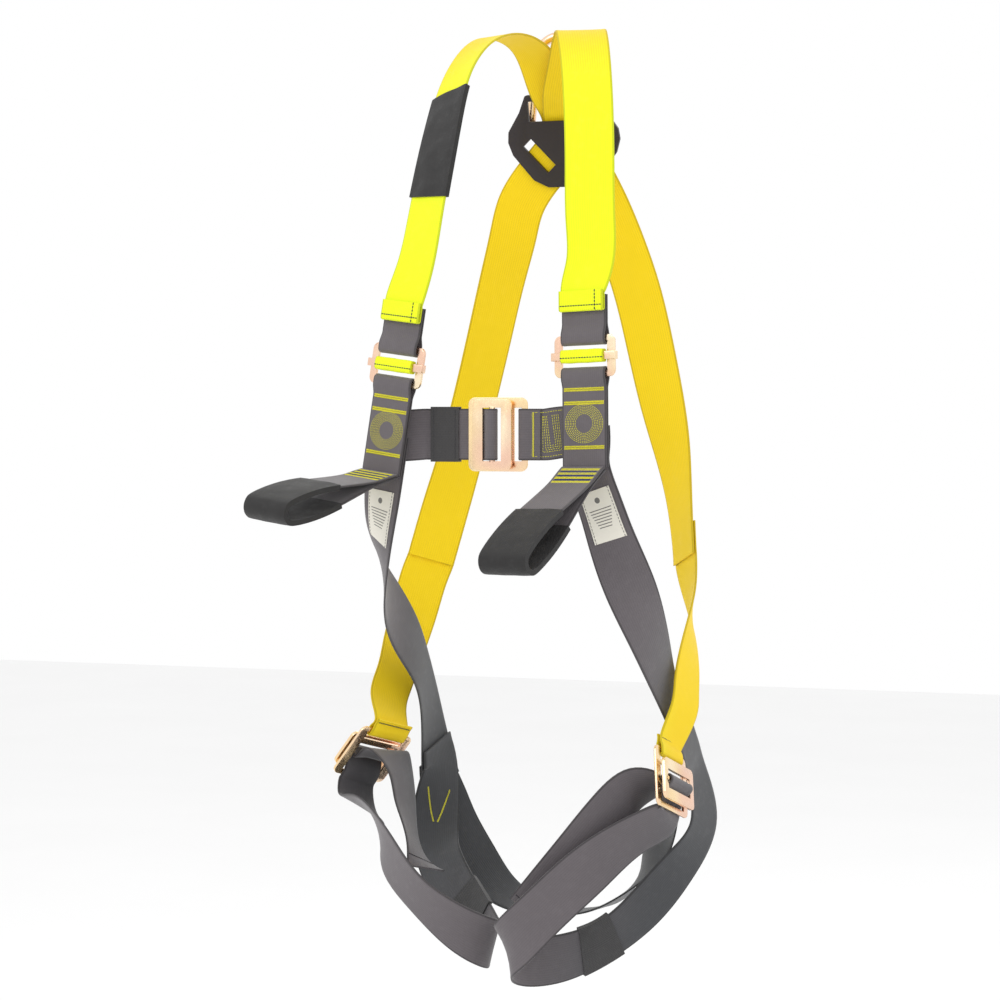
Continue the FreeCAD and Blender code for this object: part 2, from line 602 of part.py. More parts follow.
def dorsal_plate():
    """Plastic plate that the two shoulder straps cross behind, with the lugs of the D-ring."""
    grow = PLATE_HALF_WIDTH / 55.0
    tall = DORSAL_HEIGHT / 86.0
    half = [(run * tall, across * grow) for run, across in PLATE_OUTLINE]
    points = half[:-1] + [(run, -across) for run, across in reversed(half[1:])]
    front = DORSAL_THICK / 2
    polygon = [Vector(run, -front, across) for run, across in points]
    plate = Part.Face(Part.makePolygon(polygon + polygon[:1])).extrude(Vector(0, DORSAL_THICK, 0))
    corners = [edge for edge in plate.Edges if abs(edge.tangentAt(edge.FirstParameter).y) > 0.9]
    plate = plate.makeFillet(3.0, corners)
    deep = (-DORSAL_THICK, DORSAL_THICK)
    plate = plate.cut(block((13 * tall, 32 * tall), deep, (-SLOT_HALF_WIDTH, SLOT_HALF_WIDTH)))
    for hand in (-1, 1):
        window = block((-5.5, 5.5), deep, (-17, 17))
        window.rotate(Vector(0, 0, 0), Vector(0, 1, 0), hand * 48)
        window.translate(Vector(-19 * tall, 0, hand * 25 * grow))
        plate = plate.cut(window)
        low = hand * LUG_OUTER if hand < 0 else hand * (LUG_OUTER - LUG_WIDTH)
        lug = Part.makeCylinder(RING_RADIUS + 3, LUG_WIDTH, Vector(RING_RUN, RING_LANE, low), Vector(0, 0, 1))
        web = block((RING_RUN - RING_RADIUS - 3, RING_RUN + RING_RADIUS + 3), (RING_LANE, 0), (low, low + LUG_WIDTH))
        plate = plate.fuse(lug).fuse(web)
    bore = Part.makeCylinder(
        RING_RADIUS + PIN_CLEARANCE / 3, 4 * LUG_OUTER, Vector(RING_RUN, RING_LANE, -2 * LUG_OUTER), Vector(0, 0, 1)
    )
    return plate.cut(bore).removeSplitter()


def rounded_loop(vertices, radii):
    """Closed wire through the vertices, each corner rounded by its radius."""
    count = len(vertices)
    edges = []
    ends = []
    for index, radius in enumerate(radii):
        here = vertices[index]
        back = (vertices[index - 1] - here).normalize()
        ahead = (vertices[(index + 1) % count] - here).normalize()
        half = back.getAngle(ahead) / 2
        bisector = (back + ahead).normalize()
        reach = radius / math.tan(half)
        middle = here + bisector * (radius / math.sin(half) - radius)
        ends.append((here + back * reach, here + ahead * reach))
        edges.append(Part.Arc(here + back * reach, middle, here + ahead * reach).toShape())
    for index in range(count):
        edges.append(Part.LineSegment(ends[index][1], ends[(index + 1) % count][0]).toShape())
    return Part.Wire(Part.sortEdges(edges)[0])


def d_ring():
    """Closed steel D-ring, its straight bar in the lugs."""
    reach = RING_INNER_WIDTH / 2 + RING_RADIUS
    top = RING_TOP_WIDTH / 2
    corners = [(0, -reach), (0, reach), (RING_HEIGHT, top), (RING_HEIGHT, -top)]
    path = rounded_loop([Vector(RING_RUN + run, RING_LANE, across) for run, across in corners],
                        [RING_BEND, RING_BEND, RING_TOP_BEND, RING_TOP_BEND])
    start = path.OrderedEdges[0]
    section = Part.Circle(start.valueAt(start.FirstParameter), start.tangentAt(start.FirstParameter), RING_RADIUS)
    return path.makePipeShell([Part.Wire(section.toShape())], True, False)


# ---- trim ---------------------------------------------------------------------------------------------
def shoulder_sleeve():
    """Black sleeve on the wearer's right shoulder strap."""
    first = len(hem_stations("right"))
    return sleeve_round(stretch(shoulder_stations("right"), first + 1.4, first + 3.6, 14), SLEEVE_WALL, 0.1)


def leg_keeper(side):
    """Elastic keeper on the leg strap, under the seat."""
    places = {"right": (6.0, 6.9), "left": (6.6, 7.4)}
    start, end = places[side]
    return sleeve_round(stretch(leg_stations(side), start, end, 8), 1.2, 0.1)


def chest_keeper():
    """Elastic keeper that holds the chest strap's tail."""
    low = STRAP_LANE - WEB_THICK / 2 - LAYER_GAP
    high = TAIL_LANE + 0.2 + WEB_THICK / 2 + LAYER_GAP
    half = WEB_WIDTH / 2 + LAYER_GAP
    wall = 1.2
    run = (-KEEPER_END, -KEEPER_END + KEEPER_LENGTH)
    outer = block(run, (low - wall, high + wall), (-half - wall, half + wall))
    return CHEST_BUCKLE.put(outer.cut(block((run[0] - 1, run[1] + 1), (low, high), (-half, half))))


def label(side):
    """Cloth label sewn on the outer face of the side strap, below the front loop."""
    stations = side_stations(side)
    lift = WEB_THICK / 2 + LABEL_THICK / 2 + LAYER_GAP / 3
    start = len(stations) - len(SIDE_ROUTES[side])
    return ribbon(stretch(stations, start - 0.35, start + 1.1, 5, lift), LABEL_WIDTH, LABEL_THICK)


def write(name, shape):
    """Write one node."""
    if not shape.isValid():
        print("not valid:", name)
    shape.exportStep("parts/%s.step" % name)
    print("%-26s volume %9.0f" % (name, shape.Volume))


def build():
    """Every node of the harness."""
    nodes = {}
    for side in ("right", "left"):
        nodes["shoulder_strap_" + side] = shoulder_strap(side)
        nodes["shoulder_tab_" + side] = shoulder_tab(side)
        nodes["adjuster_frame_" + side] = ADJUSTERS[side].put(adjuster_frame())
        nodes["adjuster_bar_" + side] = ADJUSTERS[side].put(slide_bar())
        nodes["adjuster_roll_" + side] = ADJUSTERS[side].put(tail_roll())
        nodes["chest_webbing_" + side] = chest_webbing(side)
        nodes["side_strap_" + side] = side_strap(side)
        nodes["hip_strap_" + side] = hip_strap(side)
        nodes["leg_strap_" + side] = leg_strap(side)
        nodes["hip_buckle_frame_" + side] = HIP_BUCKLES[side].put(buckle_frame())
        nodes["hip_buckle_plate_" + side] = HIP_BUCKLES[side].put(buckle_plate())
        nodes["front_loop_" + side] = front_loop(side)
        nodes["loop_sleeve_" + side] = loop_sleeve(side)
        nodes["leg_keeper_" + side] = leg_keeper(side)
        nodes["label_" + side] = label(side)
    nodes["chest_strap_right"] = chest_strap_right()
    nodes["chest_strap_left"] = chest_strap_left()
    nodes["chest_buckle_frame"] = CHEST_BUCKLE.put(buckle_frame())
    nodes["chest_buckle_plate"] = CHEST_BUCKLE.put(buckle_plate())
    nodes["chest_keeper"] = chest_keeper()
    nodes["dorsal_plate"] = DORSAL.put(dorsal_plate())
    nodes["d_ring"] = DORSAL.put(d_ring())
    nodes["shoulder_sleeve"] = shoulder_sleeve()
    nodes["seat_strap"] = seat_strap()
    return nodes


if __name__ == "__main__":
    os.makedirs("parts", exist_ok=True)
    for node, solid in build().items():
        write(node, solid)
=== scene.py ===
"""Looks of a full-body fall-arrest harness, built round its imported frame.

Everything is in metres in the frame's own axes: +Z up along the wearer, who faces -Y, with the wearer's left
at +X and the origin at shoulder height. Straps follow the same stations as their solids in the frame.
"""
from __future__ import annotations

import json
import logging
import math
from dataclasses import dataclass, field
from enum import Enum
from typing import Any, Sequence

import bmesh
import bpy
import numpy as np
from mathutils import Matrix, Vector, noise

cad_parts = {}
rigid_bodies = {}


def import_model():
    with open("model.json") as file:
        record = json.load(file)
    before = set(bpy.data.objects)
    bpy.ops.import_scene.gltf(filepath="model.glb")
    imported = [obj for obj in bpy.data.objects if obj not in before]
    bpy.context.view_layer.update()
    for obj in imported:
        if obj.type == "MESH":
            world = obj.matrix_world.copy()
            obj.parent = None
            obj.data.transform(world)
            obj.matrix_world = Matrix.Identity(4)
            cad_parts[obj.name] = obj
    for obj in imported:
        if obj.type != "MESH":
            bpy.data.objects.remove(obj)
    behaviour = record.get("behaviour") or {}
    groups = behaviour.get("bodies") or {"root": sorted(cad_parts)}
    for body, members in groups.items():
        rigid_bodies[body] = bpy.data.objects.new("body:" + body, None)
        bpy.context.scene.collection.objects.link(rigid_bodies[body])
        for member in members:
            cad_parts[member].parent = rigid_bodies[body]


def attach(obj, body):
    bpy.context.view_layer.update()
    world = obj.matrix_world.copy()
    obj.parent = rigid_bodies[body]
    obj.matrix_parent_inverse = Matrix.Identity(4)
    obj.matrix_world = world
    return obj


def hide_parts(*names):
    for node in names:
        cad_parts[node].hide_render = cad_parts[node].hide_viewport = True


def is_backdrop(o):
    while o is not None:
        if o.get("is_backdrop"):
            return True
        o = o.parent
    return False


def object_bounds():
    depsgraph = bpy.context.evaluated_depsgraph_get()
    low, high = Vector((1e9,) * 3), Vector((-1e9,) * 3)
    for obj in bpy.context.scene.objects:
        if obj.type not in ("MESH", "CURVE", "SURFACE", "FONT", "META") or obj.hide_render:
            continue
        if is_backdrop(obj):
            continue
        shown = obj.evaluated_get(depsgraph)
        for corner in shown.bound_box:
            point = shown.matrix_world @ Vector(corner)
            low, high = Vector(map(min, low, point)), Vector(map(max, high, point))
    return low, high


LOG = logging.getLogger("harness")
MM = 0.001

# ---- sizes shared with the frame, in millimetres --------------------------------------------------------
HARNESS_HEIGHT = 860.0
WEB_WIDTH = 45.0
WEB_THICK = 2.0
LAYER_GAP = 0.3
PIN_CLEARANCE = 0.3
STRAIGHT_STEP = 3.0
BUCKLE_STEEL = 3.0
FRAME_LENGTH = 36.0
POST_RADIUS = 2.5
PLATE_STEEL = 2.5
PLATE_SLOT = 7.0
PLATE_END_BAR = 5.0
PLATE_LIFT = 6.8
PLATE_TOP = FRAME_LENGTH / 2 + PLATE_SLOT + PLATE_END_BAR
POST_WRAP = POST_RADIUS + PIN_CLEARANCE + WEB_THICK / 2
STRAP_LANE = PLATE_LIFT + PLATE_STEEL / 2 + LAYER_GAP + WEB_THICK / 2
TAIL_LANE = STRAP_LANE + WEB_THICK + LAYER_GAP
ADJUSTER_BAR = 6.0
BAR_CENTRE = 15.0
SLIDE_BAR_HEIGHT = 7.0
SLIDE_BAR_STEEL = 2.4
ROLL_WALL = 2.4
STACK_LENGTH = 80.0
STACK_END = BAR_CENTRE + STACK_LENGTH
HEM_HEIGHT = 18.0
HEM_DROP = 38.0
HEM_LANE = -(1.5 * WEB_THICK + 1.5 * LAYER_GAP)
SIDE_LANE = -HEM_LANE + 0.2
CHEST_LANE = SIDE_LANE + WEB_THICK + 2 * LAYER_GAP
LOOP_LENGTH = 140.0
LOOP_GAPE = 22.0
LOOP_SEAM = 26.0
CHEST_STRAIGHT = 66.0
SLEEVE_WALL = 1.2
SLEEVE_EASE = 0.2
DORSAL_THICK = 3.6
DORSAL_TILT = 13.0
RING_RADIUS = 4.25
RING_HEIGHT = 86.0
RING_TOP_WIDTH = 44.0
RING_RUN = 4.0
RING_LANE = -(DORSAL_THICK / 2 + 2 * WEB_THICK + 6 * LAYER_GAP + 3.0 + RING_RADIUS)

Point = np.ndarray
Stations = list[tuple[Point, Point]]
Route = list[tuple[float, float, float, tuple[float, float, float]]]


class Side(Enum):
    """The wearer's side that a piece belongs to."""

    RIGHT = "right"
    LEFT = "left"

    @property
    def other(self) -> Side:
        """The opposite side."""
        return Side.LEFT if self is Side.RIGHT else Side.RIGHT


def unit(vector: Sequence[float]) -> Point:
    """Vector of length one."""
    values = np.array(vector, float)
    return values / np.linalg.norm(values)


def spot(x: float, y: float, z: float) -> Point:
    """Point of the frame from millimetres, with z counted from the lowest edge of the leg loops."""
    return np.array([x, y, z - HARNESS_HEIGHT], float)


class Seat:
    """Local frame of a fitting, in millimetres: run along the strap, across its width, in to the wearer."""

    def __init__(self, origin: Point, run: Sequence[float], across: Sequence[float],
                 wearer: Sequence[float]) -> None:
        """Square the axes and turn them so that the inward one points to the wearer.

        Args:
            origin: middle of the fitting.
            run: along the strap.
            across: across it, roughly.
            wearer: a direction that points to the wearer.
        """
        self.origin = origin
        self.run = unit(run)
        flat = np.array(across, float)
        self.across = unit(flat - self.run * flat.dot(self.run))
        self.inward = np.cross(self.across, self.run)
        if self.inward.dot(np.array(wearer, float)) < 0:
            self.across = -self.across
            self.inward = -self.inward

    def point(self, run: float, inward: float, across: float = 0.0) -> Point:
        """World point at the given local distances."""
        return self.origin + self.run * run + self.inward * inward + self.across * across

    def stations(self, path: Sequence[tuple[float, float]], straight_step: float = STRAIGHT_STEP) -> Stations:
        """Strap stations along a path of (run, inward) pairs, with its long runs kept straight.

        Args:
            path: (run, inward) pairs.
            straight_step: longest gap that is left between stations.

        Returns:
            Points and the way across the strap at each.
        """
        full = [path[0]]
        for before, after in zip(path, path[1:]):
            steps = max(1, int(math.dist(before, after) / straight_step))
            for step in range(1, steps + 1):
                share = step / steps
                full.append((before[0] + (after[0] - before[0]) * share,
                             before[1] + (after[1] - before[1]) * share))
        return [(self.point(run, inward), self.across) for run, inward in full]


BACKWARD = (0.0, 1.0, 0.0)
ADJUSTERS = {
    Side.RIGHT: Seat(spot(-82, -108, 558), (0.14, 0.04, 0.99), (0.94, -0.34, 0), BACKWARD),
    Side.LEFT: Seat(spot(91, -108, 565), (-0.02, 0.04, 1.0), (0.97, -0.25, 0), BACKWARD),
}
CHEST_BUCKLE = Seat(spot(6, -107, 498), (1, 0, 0), (0, 0, 1), BACKWARD)
HIP_BUCKLES = {
    Side.RIGHT: Seat(spot(-159, 4, 204), (0.60, -0.03, 0.79), (0.38, 0.89, -0.26), (1, 0, 0)),
    Side.LEFT: Seat(spot(147, -20, 192), (-0.15, 0.35, 0.92), (0.14, 0.92, -0.33), (-1, 0, 0)),
}
DORSAL = Seat(
    spot(0, 97, 776),
    (0, -math.sin(math.radians(DORSAL_TILT)), math.cos(math.radians(DORSAL_TILT))),
    (1, 0, 0),
    (0, -1, 0),
)
LOOP_SEATS = {
    Side.RIGHT: Seat(ADJUSTERS[Side.RIGHT].point(-STACK_END - 0.6, -WEB_THICK - 0.9), (-0.35, -0.915, -0.21),
                     ADJUSTERS[Side.RIGHT].across, (0, 0, -1)),
    Side.LEFT: Seat(ADJUSTERS[Side.LEFT].point(-STACK_END - 0.6, -WEB_THICK - 0.9), (-0.22, -0.80, -0.57),
                    ADJUSTERS[Side.LEFT].across, (0, 0, -1)),
}


# ---- routes of the straps: x, y, height above the lowest edge, and the way across the strap ---------------
SHOULDER_ROUTES: dict[Side, Route] = {
    Side.RIGHT: [
        (-66, -108, 642, (0.93, -0.37, 0)), (-58, -104, 685, (0.90, -0.43, 0)),
        (-52, -94, 735, (0.88, -0.47, 0)),
        (-49, -78, 778, (0.84, -0.54, 0)), (-47, -58, 812, (0.80, -0.60, 0)),
        (-41, -32, 840, (0.80, -0.60, 0)),
        (-32, -6, 855, (0.86, -0.50, 0)), (-21, 20, 857, (0.92, -0.38, 0)), (-12, 47, 847, (0.94, -0.32, 0)),
        (-7, 68.5, 826, (0.99, -0.08, 0.02)), (-4, 84.5, 807, (1.0, -0.02, 0.0)),
        (-1, 102.2, 791.5, (1.0, 0.0, 0.0)),
        (1, 105.7, 776, (0.99, -0.02, 0.10)), (16, 111.5, 748, (0.92, -0.09, 0.38)),
        (33, 116, 715, (0.93, -0.05, 0.38)),
        (51, 117, 672, (0.95, 0.05, 0.33)), (67, 116, 626, (0.97, 0.10, 0.25)),
        (81, 111, 575, (0.98, 0.05, 0.25)),
        (95, 102, 525, (0.97, -0.15, 0.22)), (108, 91, 482, (0.88, -0.45, 0.15)),
        (118, 79, 440, (0.74, -0.67, 0.10)),
        (125, 68, 398, (0.66, -0.75, 0.05)), (127, 64, 384, (0.65, -0.76, 0.05)),
    ],
    Side.LEFT: [
        (95, -107, 645, (1.0, -0.10, 0)), (94, -103, 685, (1.0, 0, 0)), (90, -93, 733, (1.0, 0, 0)),
        (84, -78, 777, (1.0, 0, 0)), (75, -57, 813, (1.0, 0, 0)), (64, -32, 841, (0.99, 0, 0)),
        (53, -7, 856, (0.97, 0.1, 0)), (43, 16, 858, (0.95, 0.2, 0)), (32, 37, 847, (0.95, 0.22, 0)),
        (20, 58, 826, (0.99, 0.06, -0.04)), (9, 78.2, 807, (1.0, 0.02, 0.0)),
        (3, 96.6, 791.5, (1.0, 0.0, 0.0)),
        (1, 101.2, 777, (0.98, 0.03, -0.16)), (-8, 104.6, 761, (0.87, 0.10, -0.48)),
        (-22, 107.5, 746, (0.80, 0.13, -0.58)),
        (-46, 112, 716, (0.86, 0.25, -0.42)), (-56, 113, 684, (0.84, 0.45, -0.28)),
        (-67, 113, 642, (0.76, 0.62, -0.20)),
        (-79, 110, 588, (0.72, 0.66, -0.17)), (-92, 106, 530, (0.70, 0.68, -0.16)),
        (-105, 99, 472, (0.74, 0.62, -0.22)),
        (-115, 91, 430, (0.84, 0.46, -0.26)), (-123, 84, 395, (0.88, 0.38, -0.26)),
        (-127, 81, 378, (0.88, 0.38, -0.26)),
    ],
}
HIP_ROUTES: dict[Side, Route] = {
    Side.RIGHT: [
        (-133, 79, 362, (0.86, 0.42, -0.25)), (-138.5, 68, 330, (0.76, 0.58, -0.25)),
        (-142, 50, 298, (0.60, 0.74, -0.28)), (-143, 30, 270, (0.46, 0.84, -0.30)),
        (-142, 14, 249, (0.40, 0.88, -0.28)),
    ],
    Side.LEFT: [
        (136, 54, 356, (0.52, -0.85, 0)), (141, 41, 328, (0.20, -0.97, 0)),
        (143.5, 27, 300, (-0.08, -0.98, 0.05)),
        (145, 13, 274, (-0.20, -0.95, 0.15)), (144.5, 4, 252, (-0.25, -0.90, 0.25)),
    ],
}
SIDE_ROUTES: dict[Side, Route] = {
    Side.RIGHT: [
        (-97, -108, 440, (0.90, -0.42, 0)), (-102, -101, 408, (0.75, -0.66, 0)),
        (-107, -80, 373, (0.35, -0.93, 0)),
        (-111, -50, 344, (0.02, -0.98, -0.15)), (-112, -14, 314, (-0.12, -0.92, -0.36)),
        (-113, 22, 283, (0.04, -0.93, -0.36)),
        (-116, 50, 246, (0.0, -0.93, -0.35)), (-119, 70, 208, (-0.20, -0.94, -0.25)),
        (-118, 84, 170, (-0.50, -0.82, -0.25)),
    ],
    Side.LEFT: [
        (103, -106, 440, (0.97, -0.20, 0.05)), (112, -103, 412, (0.93, -0.10, 0.20)),
        (123, -91, 374, (0.82, 0.30, 0.35)),
        (130, -62, 334, (0.55, 0.68, 0.48)), (131, -26, 298, (0.25, 0.84, 0.50)),
        (131, 8, 264, (0.05, 0.88, 0.45)),
        (135, 34, 228, (0.0, 0.92, 0.35)), (138, 55, 192, (0.05, 0.97, 0.20)),
    ],
}
SEAT_ROUTE: Route = [
    (-115, 90.5, 152, (-0.60, -0.75, -0.28)), (-105, 94, 128, (-0.52, -0.76, -0.40)),
    (-86, 94.5, 98, (-0.42, -0.80, -0.45)),
    (-66, 93, 74, (-0.30, -0.88, -0.35)), (-42, 91, 60, (-0.20, -0.95, -0.20)),
    (-10, 90, 53, (-0.10, -0.98, 0)),
    (26, 90, 55, (0.0, -1.0, 0.05)), (54, 91, 66, (0.20, -0.94, 0.20)), (74, 91, 86, (0.50, -0.70, 0.45)),
    (92, 89, 116, (0.72, -0.40, 0.55)), (112, 84, 146, (0.60, -0.65, 0.45)),
    (126, 74, 172, (0.30, -0.90, 0.30)),
]
LEG_REAR_ROUTES: dict[Side, Route] = {
    Side.RIGHT: [
        (-117, 68, 136, (-0.60, -0.65, -0.45)), (-102, 42, 102, (-0.62, -0.35, -0.70)),
        (-72, 14, 76, (-0.50, -0.15, -0.85)), (-40, -12, 54, (-0.35, 0.0, -0.93)),
        (-20, -34, 44, (-0.28, 0.10, -0.95)),
    ],
    Side.LEFT: [
        (147, 60, 150, (0.25, 0.95, -0.10)), (127, 50, 108, (0.45, 0.78, -0.35)),
        (96, 32, 68, (0.35, 0.60, -0.62)),
        (65, 4, 42, (0.05, 0.45, -0.87)), (36, -26, 32, (0.0, 0.15, -1.0)),
        (16, -46, 33, (0.15, 0.10, -0.98)),
    ],
}
LEG_FRONT_ROUTES: dict[Side, Route] = {
    Side.RIGHT: [
        (-19, -52, 48, (-0.28, 0.15, -0.95)), (-36, -72, 62, (-0.35, 0.25, -0.90)),
        (-74, -82, 92, (-0.52, 0.50, -0.70)),
        (-112, -64, 128, (-0.60, 0.70, -0.40)), (-140, -34, 156, (-0.34, 0.92, -0.20)),
        (-163, -10, 160, (0.25, 0.95, -0.20)),
    ],
    Side.LEFT: [
        (6, -64, 41, (0.28, 0.10, -0.94)), (12, -80, 52, (0.33, 0.15, -0.92)),
        (42, -88, 82, (0.48, 0.25, -0.80)),
        (82, -68, 122, (0.60, 0.42, -0.66)), (120, -42, 152, (0.42, 0.74, -0.48)),
    ],
}
TAIL_ROUTES: dict[Side, Route] = {
    Side.RIGHT: [
        (-151, 1, 199, (0.38, 0.89, -0.26)), (-134, -8, 208, (0.29, 0.94, -0.17)),
        (-121, -12, 196, (0.15, 0.98, -0.05)),
        (-114, -14, 166, (0.0, 0.98, 0.1)), (-104, -22, 134, (-0.3, 0.85, 0.3)),
        (-84, -38, 108, (-0.5, 0.7, 0.4)),
    ],
    Side.LEFT: [
        (135, -19, 190, (0.16, 0.92, -0.33)), (112, -38, 187, (0.42, 0.70, -0.50)),
        (95, -50, 170, (0.52, 0.55, -0.60)),
        (72, -60, 138, (0.56, 0.42, -0.68)), (43, -66, 100, (0.50, 0.28, -0.80)),
        (24, -63, 77, (0.45, 0.20, -0.85)),
    ],
}


# ---- strap geometry -------------------------------------------------------------------------------------
def arc(cx: float, cy: float, radius: float, start: float, end: float,
        steps: int) -> list[tuple[float, float]]:
    """Points of an arc in seat axes, angles in degrees."""
    angles = np.radians(np.linspace(start, end, steps + 1))
    return [(cx + radius * math.cos(a), cy + radius * math.sin(a)) for a in angles]


def drawn(rows: Route) -> Stations:
    """Stations of a drawn route."""
    return [(spot(x, y, z), np.array(across, float)) for x, y, z, across in rows]


class SmoothCurve:
    """Cubic curve with continuous bending through its points, at given marks."""

    def __init__(self, marks: np.ndarray, points: np.ndarray) -> None:
        """Solve for the slope at every point; the end slopes follow the first and last four points.

        Args:
            marks: a rising mark for each point.
            points: the points, one row each.
        """
        count = len(marks)
        self.marks = marks
        self.points = points
        matrix = np.zeros((count, count))
        right = np.zeros((count, points.shape[1]))
        matrix[0, 0] = matrix[-1, -1] = 1.0
        right[0] = self._end_slope(marks[:4], points[:4], marks[0])
        right[-1] = self._end_slope(marks[-4:], points[-4:], marks[-1])
        for i in range(1, count - 1):
            before, after = marks[i] - marks[i - 1], marks[i + 1] - marks[i]
            matrix[i, i - 1 : i + 2] = (1 / before, 2 / before + 2 / after, 1 / after)
            rise = (points[i] - points[i - 1]) / before**2 + (points[i + 1] - points[i]) / after**2
            right[i] = 3 * rise
        self.slopes = np.linalg.solve(matrix, right)

    @staticmethod
    def _end_slope(marks: np.ndarray, points: np.ndarray, place: float) -> np.ndarray:
        """Slope at one end of the polynomial through a few points.

        Args:
            marks: marks of the points.
            points: the points.
            place: mark where the slope is wanted.

        Returns:
            The slope there.
        """
        slopes = np.zeros(points.shape[1])
        for i, mark in enumerate(marks):
            others = [m for j, m in enumerate(marks) if j != i]
            bottom = np.prod([mark - m for m in others])
            top = sum(np.prod([place - m for k,
                               m in enumerate(others) if k != j]) for j in range(len(others)))
            slopes += points[i] * top / bottom
        return slopes

    def at(self, places: np.ndarray) -> tuple[np.ndarray, np.ndarray]:
        """Points and slopes at the given marks.

        Args:
            places: marks, in any order.

        Returns:
            The points and the slopes, one row each.
        """
        index = np.clip(np.searchsorted(self.marks, places, side="right") - 1, 0, len(self.marks) - 2)
        span = (self.marks[index + 1] - self.marks[index])[:, None]
        t = (places - self.marks[index])[:, None] / span
        p0, p1 = self.points[index], self.points[index + 1]
        m0, m1 = self.slopes[index] * span, self.slopes[index + 1] * span
        value = (2 * t**3 - 3 * t**2 + 1) * p0 + (t**3 - 2 * t**2 + t) * m0
        value += (3 * t**2 - 2 * t**3) * p1 + (t**3 - t**2) * m1
        slope = (6 * t**2 - 6 * t) * p0 + (3 * t**2 - 4 * t + 1) * m0
        slope += (6 * t - 6 * t**2) * p1 + (3 * t**2 - 2 * t) * m1
        return value, slope / span


class Strap:
    """A length of webbing that follows its stations, as its solid in the frame does."""

    def __init__(self, stations: Stations, width: float = WEB_WIDTH, thick: float = WEB_THICK) -> None:
        """Lay the four corner curves of the strap.

        Args:
            stations: points along the middle and the way across the strap there, in millimetres.
            width: across the strap.
            thick: through the strap.
        """
        self.width = width
        self.thick = thick
        points = np.array([point for point, _ in stations])
        steps = np.sqrt(np.linalg.norm(np.diff(points, axis=0), axis=1))
        self.marks = np.concatenate(([0.0], np.cumsum(steps)))
        _, slopes = SmoothCurve(self.marks, points).at(self.marks)
        corners: list[list[Point]] = [[], [], [], []]
        last = stations[0][1]
        for point, slope, (_, wish) in zip(points, slopes, stations):
            tangent = unit(slope)
            across = unit(wish - tangent * wish.dot(tangent))
            across = -across if across.dot(last) < 0 else across
            last = across
            normal = np.cross(tangent, across)
            for corner, (a, b) in zip(corners, ((1, 1), (1, -1), (-1, -1), (-1, 1))):
                corner.append(point + across * (a * width / 2) + normal * (b * thick / 2))
        self.corners = [SmoothCurve(self.marks, np.array(corner)) for corner in corners]

    def mark(self, place: float) -> float:
        """Mark of a place counted in stations, which may lie between two."""
        index = min(int(place), len(self.marks) - 2)
        return float(self.marks[index] + (self.marks[index + 1] - self.marks[index]) * (place - index))

    def frames(self, marks: np.ndarray) -> tuple[np.ndarray, np.ndarray, np.ndarray]:
        """Middle, across and normal directions at the marks, as rows.

        Args:
            marks: places along the strap.

        Returns:
            Middle points, across directions and normals, one row each.
        """
        a, b, c, d = [curve.at(marks)[0] for curve in self.corners]
        across = a + b - c - d
        normal = a + d - b - c
        across /= np.linalg.norm(across, axis=1)[:, None]
        normal /= np.linalg.norm(normal, axis=1)[:, None]
        return (a + b + c + d) / 4, across, normal

    def outward(self, marks: np.ndarray) -> np.ndarray:
        """The strap's normal at the marks, turned away from the wearer."""
        middle, _, normal = self.frames(marks)
        sign = np.sign(np.sum(normal[:, :2] * middle[:, :2], axis=1))
        return normal * np.where(sign == 0, 1, sign)[:, None]

    def stretch(self, start: float, end: float, steps: int, lift: float = 0.0) -> Stations:
        """Stations of a piece that lies along part of this strap, lifted away from the wearer."""
        marks = np.array([self.mark(start + (end - start) * step / steps) for step in range(steps + 1)])
        middle, across, _ = self.frames(marks)
        return list(zip(middle + self.outward(marks) * lift, across))

    def spread(self, longest: float, start: float = 0.0, end: float | None = None) -> np.ndarray:
        """Marks close enough together for a smooth mesh.

        Args:
            longest: longest step, in millimetres.
            start: first place, in stations.
            end: last place, in stations, or None for the end.

        Returns:
            The marks in order.
        """
        last = len(self.marks) - 1 if end is None else end
        between = [m for m in self.marks if self.mark(start) < m < self.mark(last)]
        edges = [self.mark(start)] + between + [self.mark(last)]
        found = [edges[0]]
        for low, high in zip(edges, edges[1:]):
            ends = self.frames(np.array([low, high]))[0]
            steps = max(2, int(np.linalg.norm(ends[1] - ends[0]) / longest) + 1)
            found.extend(np.linspace(low, high, steps + 1)[1:])
        return np.array(found)

    def line(self, start: float, end: float, across: float, face: float, steps: int = 24) -> tuple[np.ndarray,
        np.ndarray]:
        """Line along the strap's face, at one distance from its middle.

        Args:
            start: first place, in stations.
            end: last place, in stations.
            across: distance from the middle line.
            face: +1 for the face away from the wearer, -1 for the near one.
            steps: pieces that the line is made of.

        Returns:
            Points and face normals.
        """
        marks = np.array([self.mark(start + (end - start) * step / steps) for step in range(steps + 1)])
        middle, sideways, _ = self.frames(marks)
        normal = self.outward(marks) * face
        return middle + sideways * across + normal * (self.thick / 2), normal

    def curve_on(self, place: float, span: float, face: float,
                 shape: Sequence[tuple[float, float]]) -> tuple[np.ndarray, np.ndarray]:
        """Shape of (along, across) shares drawn on the strap's face; along is in stations, times the span.

        Args:
            place: where the shape stands, in stations.
            span: stations that an along of one covers.
            face: +1 for the face away from the wearer, -1 for the near one.
            shape: the pairs.

        Returns:
            Points and face normals.
        """
        marks = np.array([self.mark(place + span * along) for along, _ in shape])
        middle, sideways, _ = self.frames(marks)
        normal = self.outward(marks) * face
        offsets = np.array([across for _, across in shape])[:, None]
        return middle + sideways * offsets + normal * (self.thick / 2), normal


